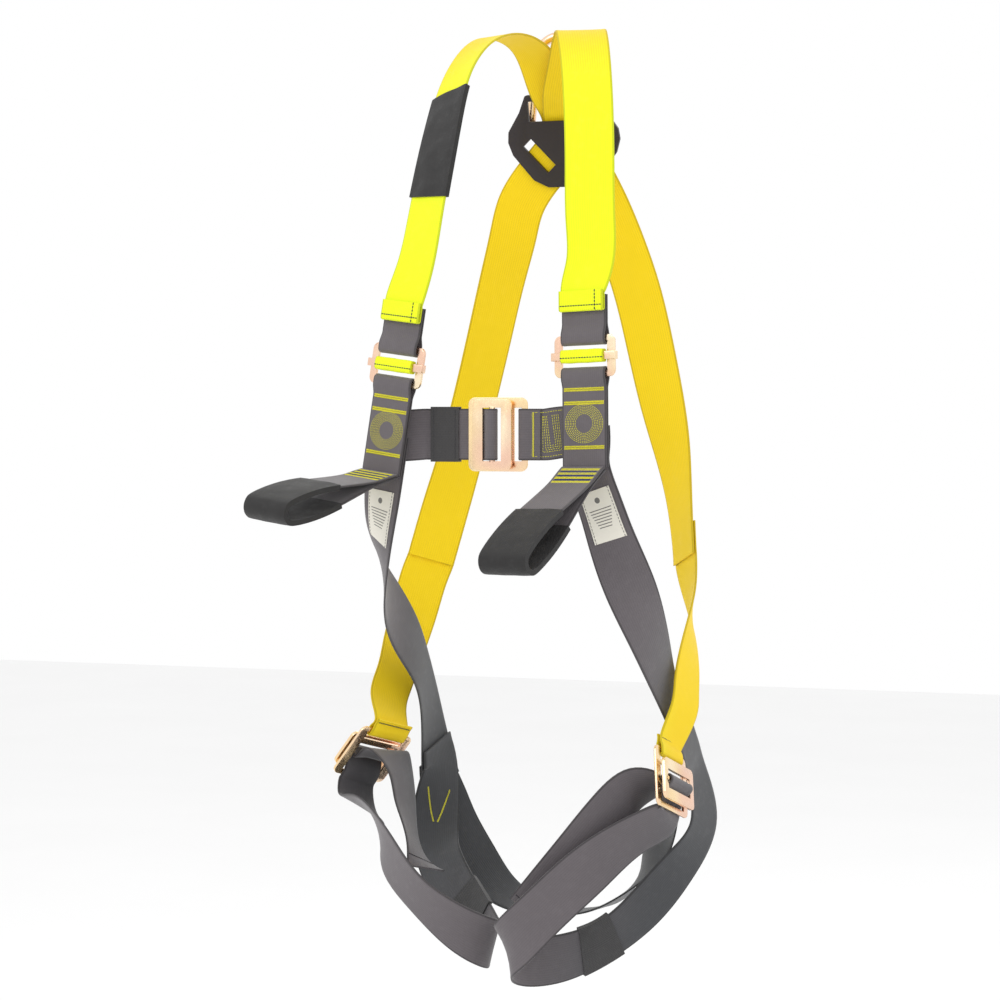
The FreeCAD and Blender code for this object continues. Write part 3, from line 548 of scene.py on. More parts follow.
# ---- meshes ---------------------------------------------------------------------------------------------
WEB_SECTION = [
    (-0.925, 1.0), (-0.80, 0.86), (-0.40, 0.90), (0.0, 0.92), (0.40, 0.90), (0.80, 0.86), (0.925, 1.0),
    (0.99, 0.55),
    (0.99, -0.55), (0.925, -1.0), (0.80, -0.86), (0.40, -0.90), (0.0, -0.92), (-0.40, -0.90), (-0.80, -0.86),
    (-0.925, -1.0), (-0.99, -0.55), (-0.99, 0.55),
]
FLAT_SECTION = [(-1.0, 1.0), (0.0, 1.0), (1.0, 1.0), (1.0, -1.0), (0.0, -1.0), (-1.0, -1.0)]


def mesh_object(name: str, vertices: Sequence[Sequence[float]], faces: Sequence[Sequence[int]],
                uvs: Sequence[Sequence[float]] | None = None, sharp: float = 40.0) -> bpy.types.Object:
    """Object whose place is in its mesh, from vertices in millimetres.

    Args:
        name: the piece's name.
        vertices: corners, in millimetres.
        faces: corner numbers of each face.
        uvs: one pair for each face corner, in metres along and across the cloth.
        sharp: edges that turn by more than this many degrees stay sharp.

    Returns:
        The new object, linked to the scene.
    """
    mesh = bpy.data.meshes.new(name)
    mesh.from_pydata([tuple(np.array(v) * MM) for v in vertices], [], [tuple(f) for f in faces])
    if uvs is not None:
        layer = mesh.uv_layers.new(name="cloth")
        layer.data.foreach_set("uv", np.array(uvs, np.float32).ravel())
    work = bmesh.new()
    work.from_mesh(mesh)
    bmesh.ops.recalc_face_normals(work, faces=work.faces)
    work.to_mesh(mesh)
    work.free()
    mesh.shade_smooth()
    mesh.set_sharp_from_angle(angle=math.radians(sharp))
    piece = bpy.data.objects.new(name, mesh)
    bpy.context.scene.collection.objects.link(piece)
    return piece


@dataclass
class Cloth:
    """Turns straps into meshes of webbing."""

    longest: float = 4.0
    section: list[tuple[float, float]] = field(default_factory=lambda: list(WEB_SECTION))

    def _rings(self, strap: Strap, marks: np.ndarray, section: list[tuple[float, float]],
               grow: float = 0.0) -> np.ndarray:
        """Points of the cross-section at every mark: rings, section points, coordinates.

        Args:
            strap: the strap.
            marks: places along it.
            section: points of the cross-section, as shares of half its width and thickness.
            grow: how far the section is pushed outwards.

        Returns:
            The points.
        """
        a, b, c, d = [curve.at(marks)[0] for curve in strap.corners]
        _, across, normal = strap.frames(marks)
        rings = []
        for x, y in section:
            wide, deep = (1 + x) / 2, (1 + y) / 2
            upper = a * wide + d * (1 - wide)
            lower = b * wide + c * (1 - wide)
            point = upper * deep + lower * (1 - deep)
            rings.append(point + across * (grow * np.sign(round(x, 2))) + normal * (grow * np.sign(y)))
        return np.array(rings).transpose(1, 0, 2)

    def webbing(self, name: str, strap: Strap) -> bpy.types.Object:
        """Closed mesh of a strap with thicker woven edges, its UV in metres across and along.

        Args:
            name: the piece's name.
            strap: the strap.

        Returns:
            The mesh object.
        """
        marks = strap.spread(self.longest)
        rings = self._rings(strap, marks, self.section)
        middle = strap.frames(marks)[0]
        along = np.concatenate(([0.0], np.cumsum(np.linalg.norm(np.diff(middle, axis=0), axis=1))))
        count = len(self.section)
        faces, uvs = [], []
        for ring in range(len(marks) - 1):
            for k in range(count):
                n = (k + 1) % count
                faces.append((ring * count + k, ring * count + n, (ring + 1) * count + n,
                              (ring + 1) * count + k))
                for row, place in ((ring, k), (ring, n), (ring + 1, n), (ring + 1, k)):
                    uvs.append((self.section[place][0] * strap.width / 2 * MM, along[row] * MM))
        for ring in (0, len(marks) - 1):
            faces.append(tuple(ring * count + k for k in range(count)))
            uvs.extend((x * strap.width / 2 * MM, along[ring] * MM) for x, _ in self.section)
        return mesh_object(name, rings.reshape(-1, 3), faces, uvs)

    def sleeve(self, name: str, strap: Strap, wall: float, crumple: float = 0.0) -> bpy.types.Object:
        """Closed tube round a strap, its outer wall softly creased.

        Args:
            name: the piece's name.
            strap: the inner faces of the tube, as a strap.
            wall: thickness of the cloth.
            crumple: most that a crease stands out.

        Returns:
            The tube, its UV in metres.
        """
        across = [(x / 8, 1.0) for x in range(-8, 9)]
        section = across + [(x, -y) for x, y in reversed(across)]
        marks = strap.spread(self.longest)
        inner = self._rings(strap, marks, section)
        outer = self._rings(strap, marks, section, wall)
        _, _, normal = strap.frames(marks)
        middle = strap.frames(marks)[0]
        along = np.concatenate(([0.0], np.cumsum(np.linalg.norm(np.diff(middle, axis=0), axis=1))))
        count = len(section)
        for ring in range(len(marks)):
            for k, (x, y) in enumerate(section):
                place = Vector((x * 1.2, along[ring] / 16, y * 3))
                push = crumple * max(0.0, noise.noise(place) + 0.35) * (1 - abs(x) ** 4)
                outer[ring, k] += normal[ring] * math.copysign(push, y)
        vertices = np.concatenate((outer.reshape(-1, 3), inner.reshape(-1, 3)))
        faces, uvs = [], []
        last = len(marks) - 1

        def face(corners: list[tuple[int, int, int]]) -> None:
            """Add one face from (wall, ring, section point) corners."""
            faces.append(tuple(w * len(marks) * count + r * count + k for w, r, k in corners))
            uvs.extend((section[k][0] * strap.width / 2 * MM, (along[r] + 2 * w) * MM) for w, r, k in corners)

        for k in range(count):
            n = (k + 1) % count
            for ring in range(last):
                face([(0, ring, k), (0, ring, n), (0, ring + 1, n), (0, ring + 1, k)])
                face([(1, ring, k), (1, ring + 1, k), (1, ring + 1, n), (1, ring, n)])
            face([(0, 0, k), (1, 0, k), (1, 0, n), (0, 0, n)])
            face([(0, last, k), (0, last, n), (1, last, n), (1, last, k)])
        return mesh_object(name, vertices, faces, uvs, 50.0)


def machined(node: str, bevel: float, segments: int = 3) -> bpy.types.Object:
    """Copy of a solid of the frame with its edges rounded.

    Args:
        node: the frame's node.
        bevel: width of the rounding, in millimetres.
        segments: steps in the rounding.

    Returns:
        A closed mesh of its own.
    """
    source = bpy.data.objects[node]
    work = bmesh.new()
    work.from_mesh(source.data)
    bmesh.ops.remove_doubles(work, verts=work.verts, dist=2e-6)
    bmesh.ops.dissolve_limit(work, angle_limit=math.radians(0.6), verts=work.verts, edges=work.edges)
    mesh = bpy.data.meshes.new(node + "_finished")
    work.to_mesh(mesh)
    work.free()
    piece = bpy.data.objects.new(node + "_finished", mesh)
    bpy.context.scene.collection.objects.link(piece)
    round_edges = piece.modifiers.new("round", "BEVEL")
    round_edges.width = bevel * MM
    round_edges.segments = segments
    round_edges.limit_method = "ANGLE"
    round_edges.angle_limit = math.radians(35)
    round_edges.use_clamp_overlap = True
    piece = freeze(piece)
    piece.data.shade_smooth()
    piece.data.set_sharp_from_angle(angle=math.radians(30))
    return piece


def freeze(piece: bpy.types.Object) -> bpy.types.Object:
    """Swap a piece's modifiers for the plain mesh that they make.

    Args:
        piece: object with live modifiers.

    Returns:
        The same object, with no modifier left.
    """
    graph = bpy.context.evaluated_depsgraph_get()
    graph.update()
    mesh = bpy.data.meshes.new_from_object(piece.evaluated_get(graph), preserve_all_data_layers=True,
                                           depsgraph=graph)
    piece.modifiers.clear()
    piece.data = mesh
    return piece


def swept_ring(name: str, corners: Sequence[Point], radii: Sequence[float],
               radius: float) -> bpy.types.Object:
    """Closed round bar through rounded corners that lie in one plane.

    Args:
        name: the piece's name.
        corners: corners of the bar's middle line, in millimetres.
        radii: rounding of each corner.
        radius: half the bar's thickness.

    Returns:
        The bar as a closed mesh.
    """
    path: list[Point] = []
    count = len(corners)
    for index, bend in enumerate(radii):
        here = corners[index]
        back, ahead = unit(corners[index - 1] - here), unit(corners[(index + 1) % count] - here)
        half = math.acos(float(back.dot(ahead))) / 2
        centre = here + unit(back + ahead) * (bend / math.sin(half))
        first = here + back * (bend / math.tan(half)) - centre
        last = here + ahead * (bend / math.tan(half)) - centre
        turn = math.acos(float(unit(first).dot(unit(last))))
        for step in range(13):
            share = step / 12
            mixed = (math.sin((1 - share) * turn) * first + math.sin(share * turn) * last) / math.sin(turn)
            path.append(centre + mixed)
    flat = unit(np.cross(corners[1] - corners[0], corners[2] - corners[1]))
    sides = 20
    vertices, faces = [], []
    for index, here in enumerate(path):
        tangent = unit(path[(index + 1) % len(path)] - path[index - 1])
        out = np.cross(tangent, flat)
        for side in range(sides):
            angle = 2 * math.pi * side / sides
            vertices.append(here + out * (radius * math.cos(angle)) + flat * (radius * math.sin(angle)))
            ahead_ring = (index + 1) % len(path)
            following = (side + 1) % sides
            faces.append((index * sides + side, index * sides + following, ahead_ring * sides + following,
                          ahead_ring * sides + side))
    return mesh_object(name, vertices, faces)


# ---- finishes -------------------------------------------------------------------------------------------
class Graph:
    """Short way to build a node tree."""

    def __init__(self, tree: bpy.types.NodeTree) -> None:
        """Start on a tree."""
        self.tree = tree

    def node(self, kind: str, settings: dict[str, Any] | None = None, **inputs: Any) -> bpy.types.Node:
        """Add a node.

        Args:
            kind: the node's type name.
            settings: its properties.
            inputs: values or sockets for its inputs, by name with _ for spaces, or in0, in1 by number.

        Returns:
            The node.
        """
        made = self.tree.nodes.new(kind)
        for key, value in (settings or {}).items():
            setattr(made, key, value)
        for key, value in inputs.items():
            numbered = key[:2] == "in" and key[2:].isdigit()
            socket = made.inputs[int(key[2:]) if numbered else key.replace("_", " ")]
            if isinstance(value, bpy.types.NodeSocket):
                self.tree.links.new(value, socket)
            else:
                socket.default_value = value
        return made

    def math(self, operation: str, first: Any, second: Any = 0.0, third: Any = 0.0) -> bpy.types.NodeSocket:
        """Result of a Math node."""
        return self.node("ShaderNodeMath", {"operation": operation}, in0=first, in1=second,
                         in2=third).outputs[0]

    def blend(self, share: Any, first: Any, second: Any, mode: str = "MIX") -> bpy.types.NodeSocket:
        """Colour mixed from two."""
        made = self.node("ShaderNodeMix", {"data_type": "RGBA", "blend_type": mode}, in0=share, in6=first,
                         in7=second)
        return made.outputs[2]

    def band(self, value: Any, low: float, high: float, start: float = 0.0,
             end: float = 1.0) -> bpy.types.NodeSocket:
        """Value mapped smoothly from one range to another."""
        settings = {"interpolation_type": "SMOOTHSTEP"}
        made = self.node("ShaderNodeMapRange", settings, in0=value, in1=low, in2=high, in3=start, in4=end)
        return made.outputs[0]

    def noise(self, vector: Any, scale: float, detail: float = 3.0) -> bpy.types.NodeSocket:
        """Noise value over a vector."""
        return self.node("ShaderNodeTexNoise", None, Vector=vector, Scale=scale, Detail=detail).outputs[0]


def new_group(name: str, inputs: dict[str, str], outputs: dict[str, str]) -> tuple[bpy.types.NodeTree, Graph,
    Any, Any]:
    """Empty shader group with named sockets.

    Args:
        name: the group's name.
        inputs: socket types by name.
        outputs: socket types by name.

    Returns:
        The tree, a graph on it, and its input and output nodes.
    """
    tree = bpy.data.node_groups.new(name, "ShaderNodeTree")
    for label, kind in inputs.items():
        tree.interface.new_socket(label, in_out="INPUT", socket_type=kind)
    for label, kind in outputs.items():
        tree.interface.new_socket(label, in_out="OUTPUT", socket_type=kind)
    graph = Graph(tree)
    return tree, graph, graph.node("NodeGroupInput"), graph.node("NodeGroupOutput")


FLOAT = "NodeSocketFloat"
VECTOR = "NodeSocketVector"


def weave_group() -> bpy.types.NodeTree:
    """Narrow-loom weave: cords along the strap, slanting picks across them, and plain edges."""
    tree, g, given, result = new_group(
        "Webbing Weave", {"Cloth": VECTOR, "Cord": FLOAT, "Pick": FLOAT, "Half Width": FLOAT},
        {"Height": FLOAT, "Shade": FLOAT, "Edge": FLOAT},
    )
    parts = g.node("ShaderNodeSeparateXYZ", None, Vector=given.outputs["Cloth"])
    wide, along = g.math("MULTIPLY", parts.outputs[0], 1000.0), g.math("MULTIPLY", parts.outputs[1], 1000.0)
    cord = g.math("ABSOLUTE", g.math("SINE", g.math("MULTIPLY", g.math("DIVIDE", wide, given.outputs["Cord"]),
                                                    math.pi)))
    slant = g.math("MULTIPLY", g.math("PINGPONG", wide, given.outputs["Cord"]), 0.8)
    rows = g.math("DIVIDE", g.math("ADD", along, slant), given.outputs["Pick"])
    pick = g.math("ABSOLUTE", g.math("SINE", g.math("MULTIPLY", rows, math.pi)))
    height = g.math("ADD", g.math("MULTIPLY", cord, 0.6), g.math("MULTIPLY", pick, 0.4))
    away = g.math("SUBTRACT", given.outputs["Half Width"], g.math("ABSOLUTE", parts.outputs[0]))
    edge = g.band(away, 0.0008, 0.0024, 1.0, 0.0)
    g.tree.links.new(height, result.inputs["Height"])
    g.tree.links.new(g.band(height, 0.15, 0.75), result.inputs["Shade"])
    g.tree.links.new(edge, result.inputs["Edge"])
    return tree


def handling_group() -> bpy.types.NodeTree:
    """Uneven dye, light dust and rubbed patches over a surface."""
    tree, g, given, result = new_group(
        "Handling Wear", {"Place": VECTOR, "Size": FLOAT, "Amount": FLOAT}, {"Tone": FLOAT, "Rub": FLOAT}
    )
    scaled = g.node("ShaderNodeVectorMath", {"operation": "SCALE"}, in0=given.outputs["Place"],
                    in3=given.outputs["Size"])
    broad, fine = g.noise(scaled.outputs[0], 14.0), g.noise(scaled.outputs[0], 160.0, 5.0)
    mixed = g.math("ADD", g.math("MULTIPLY", broad, 0.7), g.math("MULTIPLY", fine, 0.3))
    tone = g.math("ADD", 1.0, g.math("MULTIPLY", g.math("SUBTRACT", mixed, 0.5), given.outputs["Amount"]))
    g.tree.links.new(tone, result.inputs["Tone"])
    g.tree.links.new(g.band(fine, 0.52, 0.70), result.inputs["Rub"])
    return tree


def new_material(name: str) -> tuple[bpy.types.Material, Graph, bpy.types.Node]:
    """Material with one Principled shader.

    Args:
        name: the material's name.

    Returns:
        The material, a graph on its tree, and the shader.
    """
    material = bpy.data.materials.new(name)
    material.use_nodes = True
    shader = next(n for n in material.node_tree.nodes if n.type == "BSDF_PRINCIPLED")
    return material, Graph(material.node_tree), shader


Colour = tuple[float, float, float]


def rgba(colour: Colour) -> tuple[float, float, float, float]:
    """Colour with full alpha."""
    return (*colour, 1.0)


@dataclass(frozen=True)
class ClothFinish:
    """Woven cloth: webbing, sleeves and elastic."""

    name: str
    colour: Colour
    # colour towards the back; on the grey webbing it is a darker grey, painted shade on the rear and inner
    # straps
    back_tint_and_shade: Colour
    cord: float = 2.1
    pick: float = 1.5
    depth: float = 0.35
    roughness: float = 0.72
    sheen: float = 0.25
    half_width: float = 0.0225
    edge_shade: float = 0.62
    dye: float = 0.22
    front: float = -0.095
    back: float = 0.0

    def material(self, weave: bpy.types.NodeTree, wear: bpy.types.NodeTree) -> bpy.types.Material:
        """Build the finish, from one colour at the chest to another at the back; on the grey webbing the
        darker back colour is painted shade.

        Args:
            weave: the weave group.
            wear: the wear group.

        Returns:
            The material.
        """
        made, g, shader = new_material(self.name)
        spots = g.node("ShaderNodeTexCoord").outputs["Object"]
        cloth = g.node("ShaderNodeUVMap", {"uv_map": "cloth"}).outputs[0]
        woven = g.node("ShaderNodeGroup", {"node_tree": weave}, Cloth=cloth, Cord=self.cord, Pick=self.pick,
                       Half_Width=self.half_width)
        worn = g.node("ShaderNodeGroup", {"node_tree": wear}, Place=spots, Size=1.0, Amount=self.dye)
        depth = g.node("ShaderNodeSeparateXYZ", None, Vector=spots).outputs[1]
        # blend to the back colour along Y; for the grey webbing this darkening is painted shade
        base = g.blend(g.band(depth, self.front, self.back), rgba(self.colour), rgba(self.back_tint_and_shade))
        tone = g.math("MULTIPLY", worn.outputs["Tone"],
                      g.math("ADD", 0.86, g.math("MULTIPLY", woven.outputs["Shade"], 0.16)))
        tone = g.math("MULTIPLY", tone, g.math("SUBTRACT", 1.0, g.math("MULTIPLY", woven.outputs["Edge"],
            1 - self.edge_shade)))
        grey = g.node("ShaderNodeCombineColor", None, Red=tone, Green=tone, Blue=tone).outputs[0]
        g.tree.links.new(g.blend(1.0, base, grey, "MULTIPLY"), shader.inputs["Base Color"])
        rough = g.math("ADD", self.roughness, g.math("MULTIPLY", worn.outputs["Rub"], -0.12))
        g.tree.links.new(rough, shader.inputs["Roughness"])
        shader.inputs["Sheen Weight"].default_value = self.sheen
        shader.inputs["Specular IOR Level"].default_value = 0.35
        bump = g.node("ShaderNodeBump", None, Strength=self.depth, Distance=0.0003,
                      Height=woven.outputs["Height"])
        g.tree.links.new(bump.outputs[0], shader.inputs["Normal"])
        return made


@dataclass(frozen=True)
class PlatedFinish:
    """Steel with a yellow passivated zinc plating that drifts from straw to pink."""

    name: str
    straw: Colour = (0.96, 0.73, 0.42)
    pink: Colour = (0.90, 0.60, 0.45)
    pale: Colour = (1.0, 0.84, 0.60)

    def material(self, wear: bpy.types.NodeTree) -> bpy.types.Material:
        """Build the finish.

        Args:
            wear: the wear group.

        Returns:
            The material.
        """
        made, g, shader = new_material(self.name)
        spots = g.node("ShaderNodeTexCoord").outputs["Object"]
        worn = g.node("ShaderNodeGroup", {"node_tree": wear}, Place=spots, Size=3.0, Amount=0.25)
        drift = g.noise(spots, 16.0, 1.0)
        base = g.blend(g.band(drift, 0.35, 0.60), rgba(self.straw), rgba(self.pink))
        base = g.blend(g.band(g.noise(spots, 27.0, 1.0), 0.45, 0.75), base, rgba(self.pale))
        tone = worn.outputs["Tone"]
        grey = g.node("ShaderNodeCombineColor", None, Red=tone, Green=tone, Blue=tone).outputs[0]
        g.tree.links.new(g.blend(1.0, base, grey, "MULTIPLY"), shader.inputs["Base Color"])
        shader.inputs["Metallic"].default_value = 1.0
        rough = g.math("ADD", 0.24, g.math("MULTIPLY", worn.outputs["Rub"], 0.18))
        g.tree.links.new(rough, shader.inputs["Roughness"])
        scratch = g.node("ShaderNodeBump", None, Strength=0.12, Distance=0.0002,
                         Height=g.noise(spots, 900.0, 3.0))
        g.tree.links.new(scratch.outputs[0], shader.inputs["Normal"])
        return made


@dataclass(frozen=True)
class PlainFinish:
    """Moulded plastic or thread: one colour with a fine grain."""

    name: str
    colour: Colour
    roughness: float = 0.5
    grain: float = 500.0
    depth: float = 0.2
    dye: float = 0.3

    def material(self, wear: bpy.types.NodeTree) -> bpy.types.Material:
        """Build the finish.

        Args:
            wear: the wear group.

        Returns:
            The material.
        """
        made, g, shader = new_material(self.name)
        spots = g.node("ShaderNodeTexCoord").outputs["Object"]
        worn = g.node("ShaderNodeGroup", {"node_tree": wear}, Place=spots, Size=2.0, Amount=self.dye)
        tone = worn.outputs["Tone"]
        grey = g.node("ShaderNodeCombineColor", None, Red=tone, Green=tone, Blue=tone).outputs[0]
        g.tree.links.new(g.blend(1.0, rgba(self.colour), grey, "MULTIPLY"), shader.inputs["Base Color"])
        rough = g.math("ADD", self.roughness, g.math("MULTIPLY", worn.outputs["Rub"], 0.12))
        g.tree.links.new(rough, shader.inputs["Roughness"])
        bump = g.node("ShaderNodeBump", None, Strength=self.depth, Distance=0.0003,
                      Height=g.noise(spots, self.grain, 4.0))
        g.tree.links.new(bump.outputs[0], shader.inputs["Normal"])
        return made


@dataclass(frozen=True)
class LabelFinish:
    """Off-white printed cloth with plain grey rules and a dot."""

    name: str
    cloth: Colour = (0.80, 0.77, 0.68)
    ink: Colour = (0.06, 0.06, 0.06)

    def material(self, wear: bpy.types.NodeTree) -> bpy.types.Material:
        """Build the finish; the rules run across the label, with ragged right ends.

        Args:
            wear: the wear group.

        Returns:
            The material.
        """
        made, g, shader = new_material(self.name)
        spots = g.node("ShaderNodeTexCoord").outputs["Object"]
        uv = g.node("ShaderNodeSeparateXYZ", None,
                    Vector=g.node("ShaderNodeUVMap", {"uv_map": "cloth"}).outputs[0])
        wide, along = g.math("MULTIPLY", uv.outputs[0], 1000.0), g.math("MULTIPLY", uv.outputs[1], 1000.0)
        row = g.math("FLOOR", g.math("DIVIDE", along, 2.6))
        line = g.math("LESS_THAN", g.math("ABSOLUTE", g.math("SUBTRACT", g.math("FRACT", g.math("DIVIDE",
            along, 2.6)), 0.5)), 0.16)
        ragged = g.math("ADD", 8.5, g.math("MULTIPLY", g.math("SINE", g.math("MULTIPLY", row, 12.9)), 3.0))
        inside = g.math("LESS_THAN", g.math("ABSOLUTE", wide), ragged)
        below = g.math("MULTIPLY", g.math("GREATER_THAN", along, 15.0), g.math("LESS_THAN", along, 34.0))
        rules = g.math("MULTIPLY", g.math("MULTIPLY", line, inside), below)
        away = g.math("POWER", g.math("ADD", g.math("POWER", wide, 2.0), g.math("POWER", g.math("SUBTRACT",
            along, 9.0), 2.0)), 0.5)
        mark = g.math("LESS_THAN", away, 2.6)
        ink = g.math("MULTIPLY", g.math("MAXIMUM", rules, mark), 0.85)
        worn = g.node("ShaderNodeGroup", {"node_tree": wear}, Place=spots, Size=2.0, Amount=0.15)
        tone = worn.outputs["Tone"]
        grey = g.node("ShaderNodeCombineColor", None, Red=tone, Green=tone, Blue=tone).outputs[0]
        base = g.blend(ink, g.blend(1.0, rgba(self.cloth), grey, "MULTIPLY"), rgba(self.ink))
        g.tree.links.new(base, shader.inputs["Base Color"])
        shader.inputs["Roughness"].default_value = 0.7
        bump = g.node("ShaderNodeBump", None, Strength=0.2, Distance=0.0002,
                      Height=g.noise(spots, 1500.0, 2.0))
        g.tree.links.new(bump.outputs[0], shader.inputs["Normal"])
        return made


class Finishes:
    """Every material of the harness, built once."""

    def __init__(self) -> None:
        """Build the shared groups and the materials."""
        weave, wear = weave_group(), handling_group()
        self.yellow = ClothFinish("Yellow webbing", (0.83, 0.93, 0.004), (0.93, 0.66, 0.0), dye=0.12,
                                  sheen=0.1, depth=0.25,
                                  edge_shade=0.66).material(weave, wear)
        # the grey webbing's second, darker colour is painted shade on the straps towards the back
        self.grey = ClothFinish("Grey webbing", (0.118, 0.104, 0.112), (0.048, 0.050, 0.055), edge_shade=0.42,
                                dye=0.35,
                                sheen=0.3, front=-0.075, back=0.045).material(weave, wear)
        self.sleeve = ClothFinish("Black sleeve", (0.016, 0.015, 0.015), (0.016, 0.015, 0.015), cord=1.1,
                                  pick=1.1, depth=0.5,
                                  half_width=0.06, sheen=0.15, dye=0.5).material(weave, wear)
        self.elastic = ClothFinish("Black elastic", (0.045, 0.043, 0.044), (0.035, 0.034, 0.035), cord=1.6,
                                   pick=3.0, depth=0.6,
                                   half_width=0.06, dye=0.3).material(weave, wear)
        self.steel = PlatedFinish("Gold plated steel").material(wear)
        self.plastic = PlainFinish("Dark moulded plastic", (0.018, 0.011, 0.012), 0.42).material(wear)
        self.label = LabelFinish("Printed label").material(wear)
        self.yellow_thread = PlainFinish("Yellow thread", (0.78, 0.72, 0.03), 0.5, 3000.0).material(wear)
        self.dark_thread = PlainFinish("Dark thread", (0.035, 0.035, 0.04), 0.6, 3000.0).material(wear)
        self.olive_thread = PlainFinish("Olive thread", (0.22, 0.19, 0.01), 0.6, 3000.0).material(wear)
        self.blue_thread = PlainFinish("Blue thread", (0.02, 0.035, 0.16), 0.6, 3000.0).material(wear)


def dress(piece: bpy.types.Object, material: bpy.types.Material, body: str, slot: str | None,
          *nodes: str) -> bpy.types.Object:
    """Give a piece its finish, its body and the solids that it stands for.

    Args:
        piece: the finished mesh.
        material: its finish.
        body: the body that it moves with.
        slot: the material slot that it answers to, if any; not used.
        nodes: solids that it stands for.

    Returns:
        The piece.
    """
    piece.data.materials.clear()
    piece.data.materials.append(material)
    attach(piece, body)
    if nodes:
        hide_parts(*nodes)
    LOG.info("%s on %s: %d faces", piece.name, body, len(piece.data.polygons))
    return piece


# ---- stitching ------------------------------------------------------------------------------------------
@dataclass(frozen=True)
class StitchStyle:
    """How a seam is sewn: millimetres between stitches, their size, and the turn off the seam in degrees."""

    pitch: float
    length: float
    radius: float
    turn: float = 0.0


LOCK = StitchStyle(3.0, 2.7, 0.30)
BOLD = StitchStyle(2.6, 2.7, 0.55)
BRAID = StitchStyle(0.8, 3.6, 0.3, 90.0)
TACK = StitchStyle(0.62, 1.9, 0.26, 82.0)
FILL = StitchStyle(2.2, 2.1, 0.24)


def stitch_tree() -> bpy.types.NodeTree:
    """Geometry nodes that lay one stitch after another along seams that carry their face direction."""
    tree = bpy.data.node_groups.new("Stitching", "GeometryNodeTree")
    tree.interface.new_socket("Geometry", in_out="OUTPUT", socket_type="NodeSocketGeometry")
    tree.interface.new_socket("Geometry", in_out="INPUT", socket_type="NodeSocketGeometry")
    for label in ("Pitch", "Length", "Radius", "Turn"):
        tree.interface.new_socket(label, in_out="INPUT", socket_type=FLOAT)
    tree.interface.new_socket("Thread", in_out="INPUT", socket_type="NodeSocketMaterial")
    g = Graph(tree)
    given, result = g.node("NodeGroupInput"), g.node("NodeGroupOutput")
    curves = g.node("GeometryNodeMeshToCurve", None, Mesh=given.outputs["Geometry"])
    seams = g.node("GeometryNodeResampleCurve", {"mode": "LENGTH"}, Curve=curves.outputs[0],
                   Length=given.outputs["Pitch"])
    face = g.node("GeometryNodeInputNamedAttribute", {"data_type": "FLOAT_VECTOR"}, Name="face")
    tangent = g.node("GeometryNodeInputTangent")
    along = g.node("FunctionNodeAlignRotationToVector", {"axis": "X"}, Vector=tangent.outputs[0])
    settings = {"axis": "Z", "pivot_axis": "X"}
    upright = g.node("FunctionNodeAlignRotationToVector", settings, Rotation=along.outputs[0],
                     Vector=face.outputs[0])
    turn = g.node("FunctionNodeAxisAngleToRotation", None, Axis=(0.0, 0.0, 1.0), Angle=given.outputs["Turn"])
    turned = g.node("FunctionNodeRotateRotation", {"rotation_space": "LOCAL"}, in0=upright.outputs[0],
                    in1=turn.outputs[0])
    half = g.math("MULTIPLY", given.outputs["Length"], 0.5)
    size = g.node("ShaderNodeCombineXYZ", None, X=half, Y=given.outputs["Radius"], Z=given.outputs["Radius"])
    stitch = g.node("GeometryNodeMeshUVSphere", None, Segments=6, Rings=5, Radius=1.0)
    laid = g.node("GeometryNodeInstanceOnPoints", None, Points=seams.outputs[0], Instance=stitch.outputs[0],
                  Rotation=turned.outputs[0], Scale=size.outputs[0])
    real = g.node("GeometryNodeRealizeInstances", None, Geometry=laid.outputs[0])
    threaded = g.node("GeometryNodeSetMaterial", None, Geometry=real.outputs[0],
                      Material=given.outputs["Thread"])
    tree.links.new(threaded.outputs[0], result.inputs[0])
    return tree


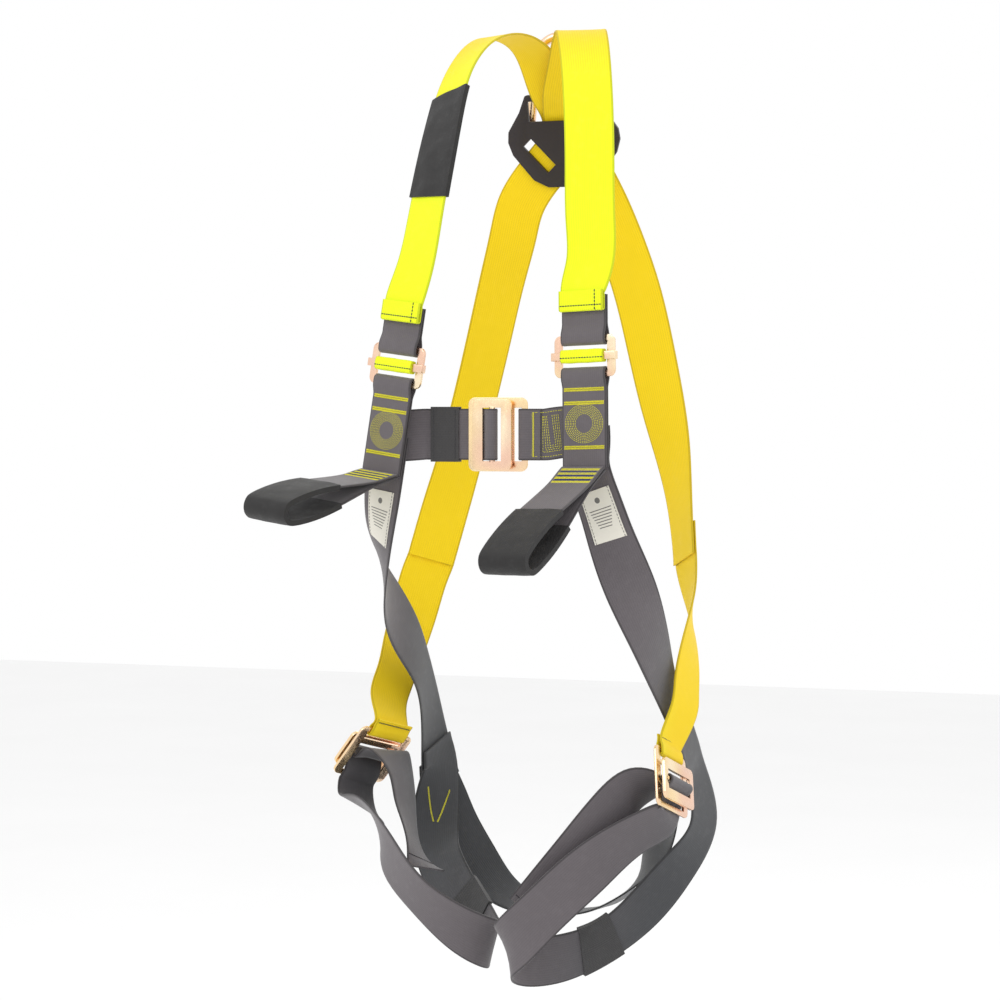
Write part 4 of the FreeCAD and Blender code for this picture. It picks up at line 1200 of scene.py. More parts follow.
class Sewing:
    """Collects seams and sews them, one piece for each body and thread."""

    def __init__(self) -> None:
        """Start with no seam."""
        self.tree = stitch_tree()
        self.seams: dict[tuple[str, str, StitchStyle, bpy.types.Material],
                         list[tuple[np.ndarray, np.ndarray, bool]]] = {}

    def seam(self, group: str, body: str, style: StitchStyle, thread: bpy.types.Material,
             line: tuple[np.ndarray, np.ndarray], closed: bool = False) -> None:
        """Add a seam.

        Args:
            group: name that the sewn piece takes.
            body: the body that it moves with.
            style: how it is sewn.
            thread: the thread's material.
            line: points in millimetres, and the face's direction at each.
            closed: whether the last point joins the first.
        """
        self.seams.setdefault((group, body, style, thread), []).append((line[0], line[1], closed))

    def on_seat(self, group: str, body: str, style: StitchStyle, thread: bpy.types.Material, seat: Seat,
                inward: float,
                front: bool, shape: Sequence[tuple[float, float]], closed: bool = False) -> None:
        """Add a seam of (run, across) points on a flat face of a fitting's seat.

        Args:
            group: name that the sewn piece takes.
            body: the body that it moves with.
            style: how it is sewn.
            thread: the thread's material.
            seat: seat of the fitting.
            inward: the face's distance in to the wearer.
            front: whether the face looks away from the wearer.
            shape: (run, across) pairs.
            closed: whether the last point joins the first.
        """
        points = np.array([seat.point(run, inward, across) for run, across in shape])
        normal = -seat.inward if front else seat.inward
        self.seam(group, body, style, thread, (points, np.tile(normal, (len(points), 1))), closed)

    def finish(self) -> None:
        """Sew everything."""
        for number, ((group, body, style, thread), lines) in enumerate(self.seams.items()):
            points = np.concatenate([line[0] for line in lines])
            edges, start = [], 0
            for line, _, closed in lines:
                edges += [(start + k, start + k + 1) for k in range(len(line) - 1)]
                edges += [(start + len(line) - 1, start)] if closed else []
                start += len(line)
            mesh = bpy.data.meshes.new("seams")
            mesh.from_pydata([tuple(p * MM) for p in points], edges, [])
            faces = mesh.attributes.new("face", "FLOAT_VECTOR", "POINT")
            facing = np.concatenate([line[1] for line in lines]).astype(np.float32)
            faces.data.foreach_set("vector", facing.ravel())
            piece = bpy.data.objects.new(f"stitching_{group}_{number}", mesh)
            bpy.context.scene.collection.objects.link(piece)
            modifier = piece.modifiers.new("sew", "NODES")
            modifier.node_group = self.tree
            values = {"Pitch": style.pitch * MM, "Length": style.length * MM, "Radius": style.radius * MM,
                      "Turn": math.radians(style.turn), "Thread": thread}
            for item in self.tree.interface.items_tree:
                if item.in_out == "INPUT" and item.name in values:
                    modifier[item.identifier] = values[item.name]
            piece = freeze(piece)
            piece.data.shade_smooth()
            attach(piece, body)
            LOG.info("%s on %s: %d faces", piece.name, body, len(piece.data.polygons))


def oval(centre_run: float, centre_across: float, run: float, across: float,
         steps: int = 40) -> list[tuple[float, float]]:
    """Points of an oval in seat axes.

    Args:
        centre_run: the oval's middle along the strap.
        centre_across: the same across it.
        run: half its height.
        across: half its width.
        steps: points round it.

    Returns:
        (run, across) pairs.
    """
    angles = np.linspace(0, 2 * math.pi, steps, endpoint=False)
    return [(centre_run + run * math.sin(a), centre_across + across * math.cos(a)) for a in angles]


# ---- routes through the fittings, shared with the frame -------------------------------------------------
POST_ENTRY = [(-27.0, STRAP_LANE + 0.8), (-21.0, STRAP_LANE + 0.2), (-17.0, 9.1), (-12.0, 6.4), (-8.0, 3.2),
              (-5.0, -0.6)]
REAR_LAP = WEB_THICK + 2 * LAYER_GAP


def post_turn() -> list[tuple[float, float]]:
    """Turn of a strap round a buckle's sliding post."""
    return POST_ENTRY + arc(0, 0, POST_WRAP + 0.1, -135, 75, 7)


def end_bar_turn(outer_length: float, inner_length: float) -> list[tuple[float, float]]:
    """Turn of a strap round the end bar of a buckle's slotted plate.

    Args:
        outer_length: run where the outer layer begins.
        inner_length: run where the inner layer ends.

    Returns:
        (run, inward) pairs in the buckle's seat.
    """
    turn_run = PLATE_TOP - PLATE_END_BAR - PIN_CLEARANCE - WEB_THICK / 2 + 1.6
    half = PLATE_STEEL / 2 + PIN_CLEARANCE + WEB_THICK / 2
    side = (WEB_THICK + LAYER_GAP) / 2
    outer = [(outer_length, PLATE_LIFT - side), (PLATE_TOP + 6, PLATE_LIFT - side),
             (PLATE_TOP, PLATE_LIFT - half)]
    inner = [(PLATE_TOP, PLATE_LIFT + half), (PLATE_TOP + 6, PLATE_LIFT + side),
             (inner_length, PLATE_LIFT + side)]
    return outer + arc(turn_run, PLATE_LIFT, half, -90, -270, 6) + inner


def bar_loop(bar_run: float, toward: float, lengths: tuple[float, float],
             bar_half: float) -> list[tuple[float, float]]:
    """Loop of webbing round one bar of an adjuster frame.

    Args:
        bar_run: run of the bar's middle.
        toward: +1 or -1, the way that both layers leave the bar.
        lengths: how far the front and rear layers reach.
        bar_half: half the bar's height.

    Returns:
        (run, inward) pairs in the adjuster's seat.
    """
    wrap = BUCKLE_STEEL / 2 * math.sqrt(2) + PIN_CLEARANCE + WEB_THICK / 2
    side = (WEB_THICK + LAYER_GAP) / 2
    near = bar_run + toward * (bar_half + 9)
    back = bar_run - toward * (bar_half - BUCKLE_STEEL / 2)
    angles = (-90, -270) if toward > 0 else (-90, 90)
    edge = bar_run + toward * (bar_half + 0.6)
    front = [(bar_run + toward * lengths[0], -side), (near, -side), (edge, -wrap)]
    rear = [(edge, wrap), (near, side), (bar_run + toward * lengths[1], side)]
    return front + arc(back, 0, wrap, *angles, 6) + rear


def hem_stations(side: Side) -> Stations:
    """Folded hem of the shoulder strap, in front of its tab.

    Args:
        side: the wearer's side.

    Returns:
        Stations from the hem's free end to the strap.
    """
    fold = WEB_THICK / 2 + 0.4
    outer_lane = HEM_LANE - 2 * fold
    top, low = HEM_DROP + HEM_HEIGHT, HEM_DROP + fold + WEB_THICK / 2
    path = [(top, outer_lane), ((top + low) / 2, outer_lane), (low, outer_lane)]
    path += arc(low, HEM_LANE - fold, fold, 270, 90, 4)[1:-1]
    path += [(low, HEM_LANE), ((top + low) / 2, HEM_LANE), (top, HEM_LANE)]
    return ADJUSTERS[side].stations(path)


def shoulder_stations(side: Side) -> Stations:
    """Shoulder strap, from its hem over the shoulder and down the back."""
    return hem_stations(side) + drawn(SHOULDER_ROUTES[side])


def hip_stations(side: Side) -> Stations:
    """Hip strap, from the lap on the other shoulder's strap to the hip buckle's plate.

    Args:
        side: the wearer's side.

    Returns:
        Stations from the lap to the folded end.
    """
    upper = Strap(shoulder_stations(side.other))
    last = len(upper.marks) - 1
    lap = upper.stretch(last - 1.4, last, 3, WEB_THICK + LAYER_GAP)
    return lap + drawn(HIP_ROUTES[side]) + HIP_BUCKLES[side].stations(end_bar_turn(PLATE_TOP + 11,
        PLATE_TOP + 11)[1:])


def side_stations(side: Side) -> Stations:
    """Side strap, from the chest stack round the hip to the rear."""
    path = [(-STACK_END + 34, SIDE_LANE), (-STACK_END + 17, SIDE_LANE), (-STACK_END, SIDE_LANE)]
    return ADJUSTERS[side].stations(path, straight_step=17.0) + drawn(SIDE_ROUTES[side])


def rear_lap(side: Side, share: float, hand: float, short: float = 0.0) -> Stations:
    """Stations of a strap sewn over the side strap's rear end.

    Args:
        side: the wearer's side.
        share: how many stations of the rear end are covered.
        hand: +1 outside it, -1 inside, or more to clear another layer.
        short: stations left free at the very end.

    Returns:
        Stations of the lapped part.
    """
    strap = Strap(side_stations(side))
    last = len(strap.marks) - 1
    return strap.stretch(last - share, last - short, 3, hand * REAR_LAP)


def leg_rear_stations(side: Side) -> Stations:
    """Leg strap round the thigh, before its buckle.

    Args:
        side: the wearer's side.

    Returns:
        Stations up to the buckle.
    """
    hand, short = ((-1.35, 0.4), (1.15, 0.0))[side is Side.LEFT]
    return rear_lap(side, 1.0, hand, short) + drawn(LEG_REAR_ROUTES[side]) + drawn(LEG_FRONT_ROUTES[side])


def leg_stations(side: Side) -> Stations:
    """Leg strap from the rear lap, round the thigh and through its buckle, with its tail."""
    return leg_rear_stations(side) + HIP_BUCKLES[side].stations(post_turn()) + drawn(TAIL_ROUTES[side])


def seat_stations() -> Stations:
    """Strap under the seat, between the two rear laps."""
    return rear_lap(Side.RIGHT, 0.6, 1) + drawn(SEAT_ROUTE) + rear_lap(Side.LEFT, 0.6, -1)[::-1]


# ---- sub-assemblies -------------------------------------------------------------------------------------
def even(points: Sequence[tuple[float, float]], step: float,
         closed: bool = False) -> list[tuple[float, float]]:
    """Points added along straight lines, so that a seam follows a curved face.

    Args:
        points: corners of the seam.
        step: longest piece that is left.
        closed: whether the last corner joins the first.

    Returns:
        The corners with points between them.
    """
    ring = list(points) + ([points[0]] if closed else [])
    found = [ring[0]]
    for before, after in zip(ring, ring[1:]):
        count = max(1, int(math.dist(before, after) / step))
        for k in range(1, count + 1):
            found.append((before[0] + (after[0] - before[0]) * k / count,
                          before[1] + (after[1] - before[1]) * k / count))
    return found


@dataclass
class YellowStraps:
    """Shoulder straps with their hems, and the hip straps."""

    hem_stitch: float = 5.0
    mark_inset: float = 8.0

    def build(self, paint: Finishes, sewing: Sewing) -> None:
        """Weave the straps and sew their hems and laps.

        Args:
            paint: the harness's finishes.
            sewing: collects the seams.
        """
        for side in Side:
            strap = Strap(shoulder_stations(side))
            node = f"shoulder_strap_{side.value}"
            dress(Cloth().webbing(node + "_woven", strap), paint.yellow, "webbing", "yellow_webbing", node)
            seat, face = ADJUSTERS[side], HEM_LANE - 2 * (WEB_THICK / 2 + 0.4) - WEB_THICK / 2
            low = HEM_DROP + self.hem_stitch
            sewing.on_seat("hem", "webbing", BOLD, paint.dark_thread, seat, face, True,
                           [(low, -20), (low, 20)])
            edge = (WEB_WIDTH / 2 - self.mark_inset) * (1 if seat.across[0] > 0 else -1)
            sewing.on_seat("hem", "webbing", BOLD, paint.dark_thread, seat, face, True,
                           [(low - 3, edge), (low + 12, edge)])
            hip = Strap(hip_stations(side))
            node = f"hip_strap_{side.value}"
            dress(Cloth().webbing(node + "_woven", hip), paint.yellow, "webbing", "yellow_webbing", node)
            self._lap(paint, sewing, hip)
            buckle = HIP_BUCKLES[side]
            for inward, front in ((PLATE_LIFT - 2.2, True), (PLATE_LIFT + 2.2, False)):
                line = [(PLATE_TOP + 8, -19), (PLATE_TOP + 8, 19)]
                sewing.on_seat("hip_end", "webbing", BOLD, paint.dark_thread, buckle, inward, front, line)

    @staticmethod
    def _lap(paint: Finishes, sewing: Sewing, hip: Strap) -> None:
        """Stitched oval and bars where the shoulder strap and the hip strap lie on each other.

        Args:
            paint: finishes.
            sewing: collects the seams.
            hip: the hip strap.
        """
        for face in (1.0, -1.0):
            for share in (0.15, 0.95):
                bar = even([(0.0, -19.0), (0.0, 19.0)], 4)
                sewing.seam("lap", "webbing", TACK, paint.olive_thread,
                            hip.curve_on(share * 3, 1.0, face, bar))
            for grow in (1.0, 0.55):
                shape = [(1.0 * grow * math.sin(a), 17 * grow * math.cos(a)) for a in np.linspace(0,
                    2 * math.pi, 40)]
                sewing.seam("lap", "webbing", BOLD, paint.olive_thread, hip.curve_on(1.65, 1.0, face, shape))


@dataclass
class ChestStacks:
    """Adjusters with their tabs, rolled tails and the box-stitched stacks below them."""

    bars: tuple[float, ...] = (-27.5, -39.0, -77.0)
    bar_half: float = 20.0
    oval_run: float = -57.5
    oval_inner: tuple[float, float] = (8.5, 9.0)
    oval_growth: tuple[float, float] = (8.0, 10.0)
    oval_rings: int = 7

    def build(self, paint: Finishes, sewing: Sewing) -> None:
        """Make both sides.

        Args:
            paint: the harness's finishes.
            sewing: collects the seams.
        """
        front = -(WEB_THICK + LAYER_GAP) / 2 - WEB_THICK / 2
        for side in Side:
            seat, name = ADJUSTERS[side], side.value
            lengths = (HEM_DROP - BAR_CENTRE + 14,) * 2
            tab = Strap(seat.stations(bar_loop(BAR_CENTRE, 1, lengths, ADJUSTER_BAR / 2)))
            dress(Cloth(3.0).webbing(f"shoulder_tab_{name}_woven", tab), paint.grey, "webbing",
                  "grey_webbing",
                  f"shoulder_tab_{name}")
            stack = Strap(seat.stations(bar_loop(-BAR_CENTRE, -1, (STACK_LENGTH,) * 2, ADJUSTER_BAR / 2)))
            dress(Cloth(3.0).webbing(f"chest_webbing_{name}_woven", stack), paint.grey, "webbing",
                  "grey_webbing",
                  f"chest_webbing_{name}")
            dress(machined(f"adjuster_frame_{name}", 0.7), paint.steel, "webbing", "gold_steel",
                  f"adjuster_frame_{name}")
            dress(machined(f"adjuster_bar_{name}", 0.6), paint.steel, f"slider_{name}", "gold_steel",
                  f"adjuster_bar_{name}")
            self._roll(side, paint, sewing)
            for run in self.bars:
                for shift in (0.0, 1.7):
                    line = [(run - shift, -self.bar_half), (run - shift, self.bar_half)]
                    sewing.on_seat("stack", "webbing", TACK, paint.yellow_thread, seat, front, True, line)
            for share in np.linspace(0.0, 1.0, self.oval_rings):
                half = [inner + grow * share for inner, grow in zip(self.oval_inner, self.oval_growth)]
                shape = oval(self.oval_run, 0, half[0], half[1], 60)
                sewing.on_seat("stack", "webbing", FILL, paint.yellow_thread, seat, front, True, shape, True)

    @staticmethod
    def _roll(side: Side, paint: Finishes, sewing: Sewing) -> None:
        """Rolled and sewn tail round the slide bar.

        Args:
            side: the wearer's side.
            paint: finishes.
            sewing: collects the seams.
        """
        middle = -BUCKLE_STEEL / 2 - PIN_CLEARANCE - SLIDE_BAR_STEEL / 2
        half_run, half_in = SLIDE_BAR_HEIGHT / 2 + ROLL_WALL, SLIDE_BAR_STEEL / 2 + ROLL_WALL
        bore = (SLIDE_BAR_HEIGHT / 2 + 0.15, SLIDE_BAR_STEEL / 2 + 0.15)
        seat, across = ADJUSTERS[side], np.linspace(-21.5, 21.5, 23)
        outer, inner = [], []
        for angle in np.linspace(0, 2 * math.pi, 48, endpoint=False):
            c, s = math.cos(angle), math.sin(angle)
            power = 2 / 3.2
            lump = 1.0 + 0.05 * math.sin(3 * angle + 1.0)
            outer.append((half_run * math.copysign(abs(c) ** power, c),
                          half_in * lump * math.copysign(abs(s) ** power, s)))
            inner.append((bore[0] * math.copysign(abs(c) ** 0.35, c),
                          bore[1] * math.copysign(abs(s) ** 0.35, s)))
        rows = []
        for a in across:
            bow = 0.25 * math.sin(a * 0.35)
            pinch = 1.0 - 0.05 * (abs(a) / 21.5) ** 6
            rows.append([seat.point(r * pinch + bow * 0.4, middle + i * pinch, a) for r, i in outer])
            rows[-1] += [seat.point(r, middle + i, a) for r, i in inner]
        count, faces, uvs = 48, [], []

        def face(corners: list[tuple[int, int]]) -> None:
            """Add one face from (row, point) corners."""
            faces.append(tuple(row * 96 + k for row, k in corners))
            uvs.extend((across[row] * MM, (k % 48) * 0.55 * MM) for row, k in corners)

        for k in range(count):
            n = (k + 1) % count
            for row in range(len(across) - 1):
                face([(row, k), (row, n), (row + 1, n), (row + 1, k)])
                face([(row, 48 + k), (row + 1, 48 + k), (row + 1, 48 + n), (row, 48 + n)])
            face([(0, k), (0, 48 + k), (0, 48 + n), (0, n)])
            last = len(across) - 1
            face([(last, k), (last, n), (last, 48 + n), (last, 48 + k)])
        points = [p for row in rows for p in row]
        roll = mesh_object(f"adjuster_roll_{side.value}_sewn", points, faces, uvs, 50.0)
        dress(roll, paint.yellow, f"slider_{side.value}", "yellow_webbing", f"adjuster_roll_{side.value}")
        line = [(-1.5, -20.5), (-1.5, 20.5)]
        sewing.on_seat(f"roll_{side.value}", f"slider_{side.value}", BOLD, paint.dark_thread, seat,
                       middle - half_in, True, line)


@dataclass
class ChestStrap:
    """The two halves of the chest strap, their buckle and the tail's keeper."""

    keeper_run: tuple[float, float] = (-60.0, -34.0)
    keeper_half: float = WEB_WIDTH / 2 + LAYER_GAP
    panel_bars: tuple[float, ...] = (34.0, 36.0, 63.0, 65.0)

    def build(self, paint: Finishes, sewing: Sewing) -> None:
        """Make the strap, the buckle and the keeper.

        Args:
            paint: the harness's finishes.
            sewing: collects the seams.
        """
        right, left = ADJUSTERS[Side.RIGHT], ADJUSTERS[Side.LEFT]
        path = [(-CHEST_STRAIGHT, STRAP_LANE), (-27.0, STRAP_LANE)] + post_turn()[1:]
        path += [(-6.5, 6.2), (-12, 9.8), (-19.5, TAIL_LANE + 0.2), (-26, TAIL_LANE + 0.2),
                 (-CHEST_STRAIGHT, TAIL_LANE + 0.2)]
        sewn = [(right.point(-STACK_END + 34, CHEST_LANE, a), right.run) for a in (16, 9, 2, -5)]
        half = Strap(sewn + CHEST_BUCKLE.stations(path))
        dress(Cloth(3.0).webbing("chest_strap_right_woven", half), paint.grey, "webbing", "grey_webbing",
              "chest_strap_right")
        sewn = [(left.point(-STACK_END + 31, CHEST_LANE, a), left.run) for a in (29, 21, 9, -4, -16)]
        half = Strap(CHEST_BUCKLE.stations(end_bar_turn(PLATE_TOP + 12, PLATE_TOP + 16)) + sewn)
        dress(Cloth(3.0).webbing("chest_strap_left_woven", half), paint.grey, "webbing", "grey_webbing",
              "chest_strap_left")
        dress(machined("chest_buckle_frame", 0.8), paint.steel, "chest_frame", "gold_steel",
              "chest_buckle_frame")
        dress(machined("chest_buckle_plate", 0.7), paint.steel, "webbing", "gold_steel", "chest_buckle_plate")
        self._keeper(paint, sewing)
        self._sewn_panel(half, paint, sewing)

    def _sewn_panel(self, half: Strap, paint: Finishes, sewing: Sewing) -> None:
        """Box and U of stitches, first on the folded end and then on the strap beyond it.

        Args:
            half: the left half of the chest strap.
            paint: finishes.
            sewing: collects the seams.
        """
        fold_face = PLATE_LIFT - (WEB_THICK + LAYER_GAP) / 2 - WEB_THICK / 2
        fold_end = PLATE_TOP + 11.5
        marks = np.linspace(half.mark(9), half.marks[-1], 500)
        middle, sideways, normal = half.frames(marks)
        runs = (middle - CHEST_BUCKLE.origin) @ CHEST_BUCKLE.run
        first = int(np.argmax(runs > PLATE_TOP + 3))

        def lay(points: Sequence[tuple[float, float]]) -> tuple[np.ndarray, np.ndarray]:
            """Points of a seam on whichever layer shows there.

            Args:
                points: (run, across) pairs.

            Returns:
                Points and the face direction at each.
            """
            places, faces = [], []
            for run, across in points:
                if run <= fold_end:
                    places.append(CHEST_BUCKLE.point(run, fold_face, across))
                    faces.append(-CHEST_BUCKLE.inward)
                    continue
                row = first + int(np.argmin(np.abs(runs[first:] - run)))
                hand = -1.0 if normal[row].dot(CHEST_BUCKLE.inward) > 0 else 1.0
                turn = 1.0 if sideways[row].dot(CHEST_BUCKLE.across) > 0 else -1.0
                lift = normal[row] * hand * WEB_THICK / 2
                places.append(middle[row] + sideways[row] * across * turn + lift)
                faces.append(normal[row] * hand)
            return np.array(places), np.array(faces)

        for run in self.panel_bars:
            sewing.seam("chest", "webbing", TACK, paint.yellow_thread, lay(even([(run, -19), (run, 19)], 3)))
        for inset in (0.0, 1.7, 3.4, 5.1):
            shape = [(44 + inset, 15), (44 + inset, -15 + inset), (59 - inset, -15 + inset), (59 - inset, 15)]
            sewing.seam("chest", "webbing", FILL, paint.yellow_thread, lay(even(shape, 2)))
        for across in (-19.0, 19.0):
            shape = [(self.panel_bars[0], across), (self.panel_bars[-1], across)]
            sewing.seam("chest", "webbing", FILL, paint.yellow_thread, lay(even(shape, 2)))

    def _keeper(self, paint: Finishes, sewing: Sewing) -> None:
        """Ribbed elastic band round the strap and its tail.

        Args:
            paint: finishes.
            sewing: collects the seams.
        """
        low, high = STRAP_LANE - WEB_THICK / 2 - LAYER_GAP, TAIL_LANE + 0.2 + WEB_THICK / 2 + LAYER_GAP
        middle, deep = (low + high) / 2, high - low
        places = np.linspace(self.keeper_run[0], self.keeper_run[1], 9)
        seat = Seat(CHEST_BUCKLE.origin, CHEST_BUCKLE.run, CHEST_BUCKLE.across, BACKWARD)
        stations = [(seat.point(run, middle), seat.across) for run in places]
        band = Cloth(1.2).sleeve("chest_keeper_woven", Strap(stations, 2 * self.keeper_half, deep), 1.15,
                                 0.12)
        dress(band, paint.elastic, "tail_keeper", "black_elastic", "chest_keeper")
        for run in (self.keeper_run[0] + 3, self.keeper_run[1] - 3):
            line = [(run, -20), (run, 20)]
            sewing.on_seat("keeper", "tail_keeper", LOCK, paint.dark_thread, CHEST_BUCKLE, low - 1.3, True,
                           line)


@dataclass
class LowerStraps:
    """Side, seat and leg straps with the hip buckles."""

    v_top: float = 163.0
    v_low: float = 133.0

    def build(self, paint: Finishes, sewing: Sewing) -> None:
        """Weave the straps and finish the buckles.

        Args:
            paint: the harness's finishes.
            sewing: collects the seams.
        """
        for side in Side:
            name = side.value
            strap = Strap(side_stations(side))
            dress(Cloth().webbing(f"side_strap_{name}_woven", strap), paint.grey, "webbing", "grey_webbing",
                  f"side_strap_{name}")
            leg = Strap(leg_stations(side))
            dress(Cloth().webbing(f"leg_strap_{name}_woven", leg), paint.grey, "webbing", "grey_webbing",
                  f"leg_strap_{name}")
            dress(machined(f"hip_buckle_frame_{name}", 0.8), paint.steel, f"hip_frame_{name}", "gold_steel",
                  f"hip_buckle_frame_{name}")
            dress(machined(f"hip_buckle_plate_{name}", 0.7), paint.steel, "webbing", "gold_steel",
                  f"hip_buckle_plate_{name}")
            last = len(strap.marks) - 1
            for face in (1.0, -1.0):
                for place in (last - 0.75, last - 0.12):
                    bar = even([(0.0, -19.0), (0.0, 19.0)], 4)
                    sewing.seam("rear", "webbing", TACK, paint.dark_thread,
                                strap.curve_on(place, 1.0, face, bar))
            self._vee(side, leg, paint, sewing)
            end = len(leg.marks) - 1
            for face in (1.0, -1.0):
                bar = even([(0.0, -19.0), (0.0, 19.0)], 4)
                sewing.seam("tail", "webbing", BOLD, paint.dark_thread,
                            leg.curve_on(end - 0.3, 1.0, face, bar))
        seat = Strap(seat_stations())
        dress(Cloth().webbing("seat_strap_woven", seat), paint.grey, "webbing", "grey_webbing", "seat_strap")

    def _vee(self, side: Side, leg: Strap, paint: Finishes, sewing: Sewing) -> None:
        """Yellow V of close stitches on the right leg strap, below its rear lap.

        Args:
            side: the wearer's side.
            leg: the leg strap.
            paint: finishes.
            sewing: collects the seams.
        """
        if side is not Side.RIGHT:
            return
        places = np.linspace(0.0, 5.0, 400)
        heights = np.array([leg.frames(np.array([leg.mark(p)]))[0][0][2] + HARNESS_HEIGHT for p in places])
        top = float(places[int(np.argmin(np.abs(heights - self.v_top)))])
        low = float(places[int(np.argmin(np.abs(heights - self.v_low)))])
        for hand in (1.0, -1.0):
            legs = even([(0.0, 12.0 * hand), (1.0, 2.0 * hand)], 0.2)
            for face in (1.0, -1.0):
                sewing.seam("vee", "webbing", TACK, paint.yellow_thread,
                            leg.curve_on(top, low - top, face, legs))


@dataclass
class FrontLoops:
    """Front attachment loops with their sewn bases and black sleeves."""

    bars: tuple[float, ...] = (4.0, 10.0, 16.0, 22.0)

    def build(self, paint: Finishes, sewing: Sewing) -> None:
        """Make both loops.

        Args:
            paint: the harness's finishes.
            sewing: collects the seams.
        """
        for side in Side:
            body, stations = f"front_loop_{side.value}", self._stations(side)
            loop = Strap(stations)
            dress(Cloth(3.0).webbing(f"{body}_woven", loop), paint.grey, body, "grey_webbing", body)
            last = len(stations) - 1
            inner = Strap(loop.stretch(3.4, last - 3.4, 28), WEB_WIDTH + SLEEVE_EASE, WEB_THICK + SLEEVE_EASE)
            sleeve = Cloth(2.5).sleeve(f"loop_sleeve_{side.value}_woven", inner, SLEEVE_WALL, 0.9)
            dress(sleeve, paint.sleeve, body, "black_textile", f"loop_sleeve_{side.value}")
            seat = LOOP_SEATS[side]
            face = (WEB_THICK + LAYER_GAP) / 2 + WEB_THICK / 2
            for run in self.bars:
                for inward, front in ((-face, True), (face, False)):
                    for shift in (0.0, 1.6):
                        line = [(run + shift, -19.5), (run + shift, 19.5)]
                        sewing.on_seat(body, body, TACK, paint.yellow_thread, seat, inward, front, line)
            for run in self.bars[:-1]:
                line = [(run + 3.8, -18), (run + 3.8, 18)]
                sewing.on_seat(body, body, BRAID, paint.blue_thread, seat, -face, True, line)

    @staticmethod
    def _stations(side: Side) -> Stations:
        """Stations of the loop, from its base round its nose and back.

        Args:
            side: the wearer's side.

        Returns:
            Stations of the whole loop.
        """
        gap = (WEB_THICK + LAYER_GAP) / 2
        nose = LOOP_GAPE * 0.40
        upper = [(0.4, -gap - 0.05), (LOOP_SEAM / 2, -gap - 0.15), (LOOP_SEAM, -gap - 0.35)]
        upper += [(s * LOOP_LENGTH, -g * LOOP_GAPE / 2) for s,
                  g in ((0.45, 0.60), (0.62, 0.88), (0.80, 0.96))]
        path = upper + arc(LOOP_LENGTH - nose, 0, nose, -70, 70, 6) + [(run, -inward) for run,
            inward in reversed(upper)]
        return LOOP_SEATS[side].stations(path, straight_step=LOOP_LENGTH)


@dataclass
class DorsalSet:
    """Moulded plate on the back with its D-ring."""

    corner_radii: tuple[float, ...] = (5.0, 5.0, 24.0, 24.0)
    base_half: float = 37.75

    def build(self, paint: Finishes) -> None:
        """Make the plate and the ring.

        Args:
            paint: the harness's finishes.
        """
        dress(machined("dorsal_plate", 1.0), paint.plastic, "webbing", "dark_plastic", "dorsal_plate")
        shape = ((0.0, -self.base_half), (0.0, self.base_half), (RING_HEIGHT, RING_TOP_WIDTH / 2),
                 (RING_HEIGHT, -RING_TOP_WIDTH / 2))
        corners = [DORSAL.point(RING_RUN + run, RING_LANE, across) for run, across in shape]
        ring = swept_ring("d_ring_forged", corners, self.corner_radii, RING_RADIUS)
        dress(ring, paint.steel, "dorsal_ring", "gold_steel", "d_ring")


@dataclass
class Trim:
    """Sleeve on the shoulder, leg keepers and cloth labels."""

    label_width: float = 31.0
    label_thick: float = 0.6

    def build(self, paint: Finishes, sewing: Sewing) -> None:
        """Make the small sewn pieces.

        Args:
            paint: the harness's finishes.
            sewing: collects the seams.
        """
        first = len(hem_stations(Side.RIGHT))
        shoulder = Strap(shoulder_stations(Side.RIGHT))
        inner = Strap(shoulder.stretch(first + 1.4, first + 3.6, 14), WEB_WIDTH + SLEEVE_EASE,
                      WEB_THICK + SLEEVE_EASE)
        sleeve = Cloth(3.0).sleeve("shoulder_sleeve_woven", inner, SLEEVE_WALL, 1.4)
        dress(sleeve, paint.sleeve, "webbing", "black_textile", "shoulder_sleeve")
        for side, (start, end) in ((Side.RIGHT, (6.0, 6.9)), (Side.LEFT, (6.6, 7.4))):
            leg = Strap(leg_rear_stations(side))
            inner = Strap(leg.stretch(start, end, 8), WEB_WIDTH + SLEEVE_EASE, WEB_THICK + SLEEVE_EASE)
            keeper = Cloth(2.0).sleeve(f"leg_keeper_{side.value}_woven", inner, SLEEVE_WALL, 0.3)
            dress(keeper, paint.elastic, "webbing", "black_elastic", f"leg_keeper_{side.value}")
            stations = side_stations(side)
            start = len(stations) - len(SIDE_ROUTES[side])
            lift = WEB_THICK / 2 + self.label_thick / 2 + LAYER_GAP / 3
            lain = Strap(Strap(stations).stretch(start - 0.35, start + 1.1, 5, lift), self.label_width,
                         self.label_thick)
            cloth = Cloth(2.0, list(FLAT_SECTION)).webbing(f"label_{side.value}_printed", lain)
            dress(cloth, paint.label, "webbing", "label_cloth", f"label_{side.value}")
            for edge in (-self.label_width / 2 + 1.5, self.label_width / 2 - 1.5):
                line = lain.line(0.1, len(lain.marks) - 1.1, edge, 1.0)
                sewing.seam("label", "webbing", LOCK, paint.dark_thread, line)


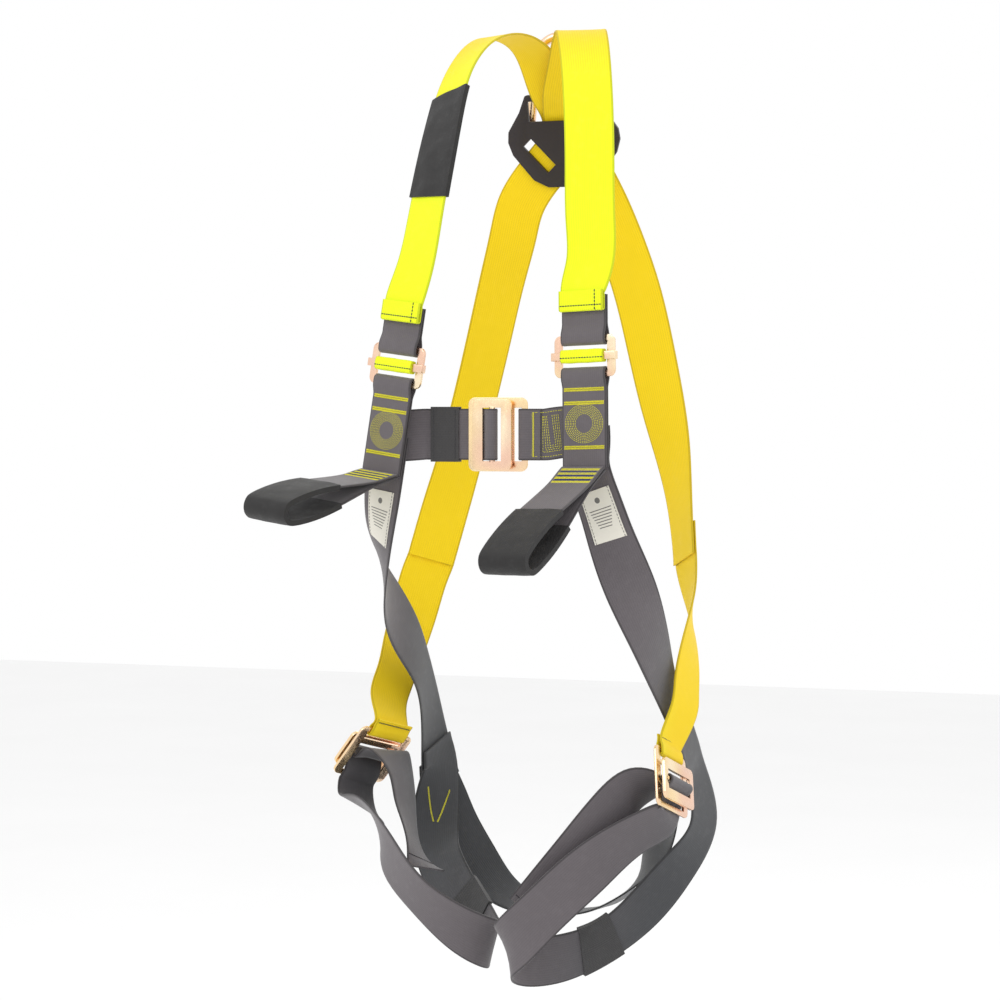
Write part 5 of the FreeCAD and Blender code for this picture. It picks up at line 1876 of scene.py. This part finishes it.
@dataclass
class Studio:
    """Pale floor, soft lights and the camera."""

    floor_drop: float = 0.35
    distance: float = 2.5
    azimuth: float = 20.0
    target: tuple[float, float, float] = (0.0, 0.0, -0.34)
    lens: float = 100.0
    shift: tuple[float, float] = (-0.028, -0.091)

    def build(self, low: float) -> None:
        """Set up the studio; low is the height of the harness's lowest point.

        Args:
            low: height of the harness's lowest point, in metres.
        """
        scene = bpy.context.scene
        scene.view_settings.view_transform = "Standard"
        world = bpy.data.worlds.new("Studio")
        world.use_nodes = True
        sky = next(n for n in world.node_tree.nodes if n.type == "BACKGROUND")
        sky.inputs[0].default_value = (1.0, 1.0, 1.0, 1.0)
        sky.inputs[1].default_value = 1.0
        scene.world = world
        self._floor(low - self.floor_drop)
        self._light("key", (-1.3, -2.2, 1.5), 1.5, 20.0)
        self._light("fill", (2.0, -1.8, 0.4), 1.6, 6.0)
        self._light("rear", (0.4, 2.2, 1.4), 1.6, 8.0)
        angle = math.radians(self.azimuth)
        back = Vector((math.sin(angle), -math.cos(angle), 0.0))
        data = bpy.data.cameras.new("Studio camera")
        data.lens = self.lens
        data.sensor_width = 36.0
        data.shift_x, data.shift_y = self.shift
        camera = bpy.data.objects.new("Studio camera", data)
        camera.location = Vector(self.target) + back * self.distance
        camera.rotation_euler = (-back).to_track_quat("-Z", "Y").to_euler()
        scene.collection.objects.link(camera)
        scene.camera = camera

    @staticmethod
    def _floor(height: float) -> None:
        """Plain pale floor.

        Args:
            height: height of the floor, in metres.
        """
        mesh = bpy.data.meshes.new("studio_floor")
        work = bmesh.new()
        bmesh.ops.create_grid(work, x_segments=4, y_segments=4, size=6.0)
        bmesh.ops.translate(work, verts=work.verts, vec=(0, 0, height))
        work.to_mesh(mesh)
        work.free()
        floor = bpy.data.objects.new("studio_floor", mesh)
        material, graph, shader = new_material("Pale floor")
        spots = graph.node("ShaderNodeTexCoord").outputs["Object"]
        mottled = graph.blend(graph.noise(spots, 3.0), (0.90, 0.90, 0.90, 1), (0.93, 0.93, 0.93, 1))
        graph.tree.links.new(mottled, shader.inputs["Base Color"])
        shader.inputs["Roughness"].default_value = 0.9
        floor.data.materials.append(material)
        bpy.context.scene.collection.objects.link(floor)
        floor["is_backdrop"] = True

    def _light(self, name: str, place: tuple[float, float, float], size: float, power: float) -> None:
        """Soft square light that faces the harness.

        Args:
            name: the light's name.
            place: where it stands, in metres.
            size: its width, in metres.
            power: its power, in watts.
        """
        data = bpy.data.lights.new(name, "AREA")
        data.size = size
        data.energy = power
        lamp = bpy.data.objects.new(name, data)
        lamp.location = Vector(place)
        lamp.rotation_euler = (Vector(self.target) - lamp.location).to_track_quat("-Z", "Y").to_euler()
        bpy.context.scene.collection.objects.link(lamp)


def main() -> None:
    """Build the harness's looks round its frame."""
    logging.basicConfig(level=logging.INFO, format="%(message)s")
    for old in list(bpy.data.objects):
        bpy.data.objects.remove(old, do_unlink=True)
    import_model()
    frame_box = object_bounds()
    paint, sewing = Finishes(), Sewing()
    YellowStraps().build(paint, sewing)
    ChestStacks().build(paint, sewing)
    ChestStrap().build(paint, sewing)
    LowerStraps().build(paint, sewing)
    FrontLoops().build(paint, sewing)
    DorsalSet().build(paint)
    Trim().build(paint, sewing)
    sewing.finish()
    Studio().build(float(frame_box[0][2]))


if __name__ == "__main__":
    main()
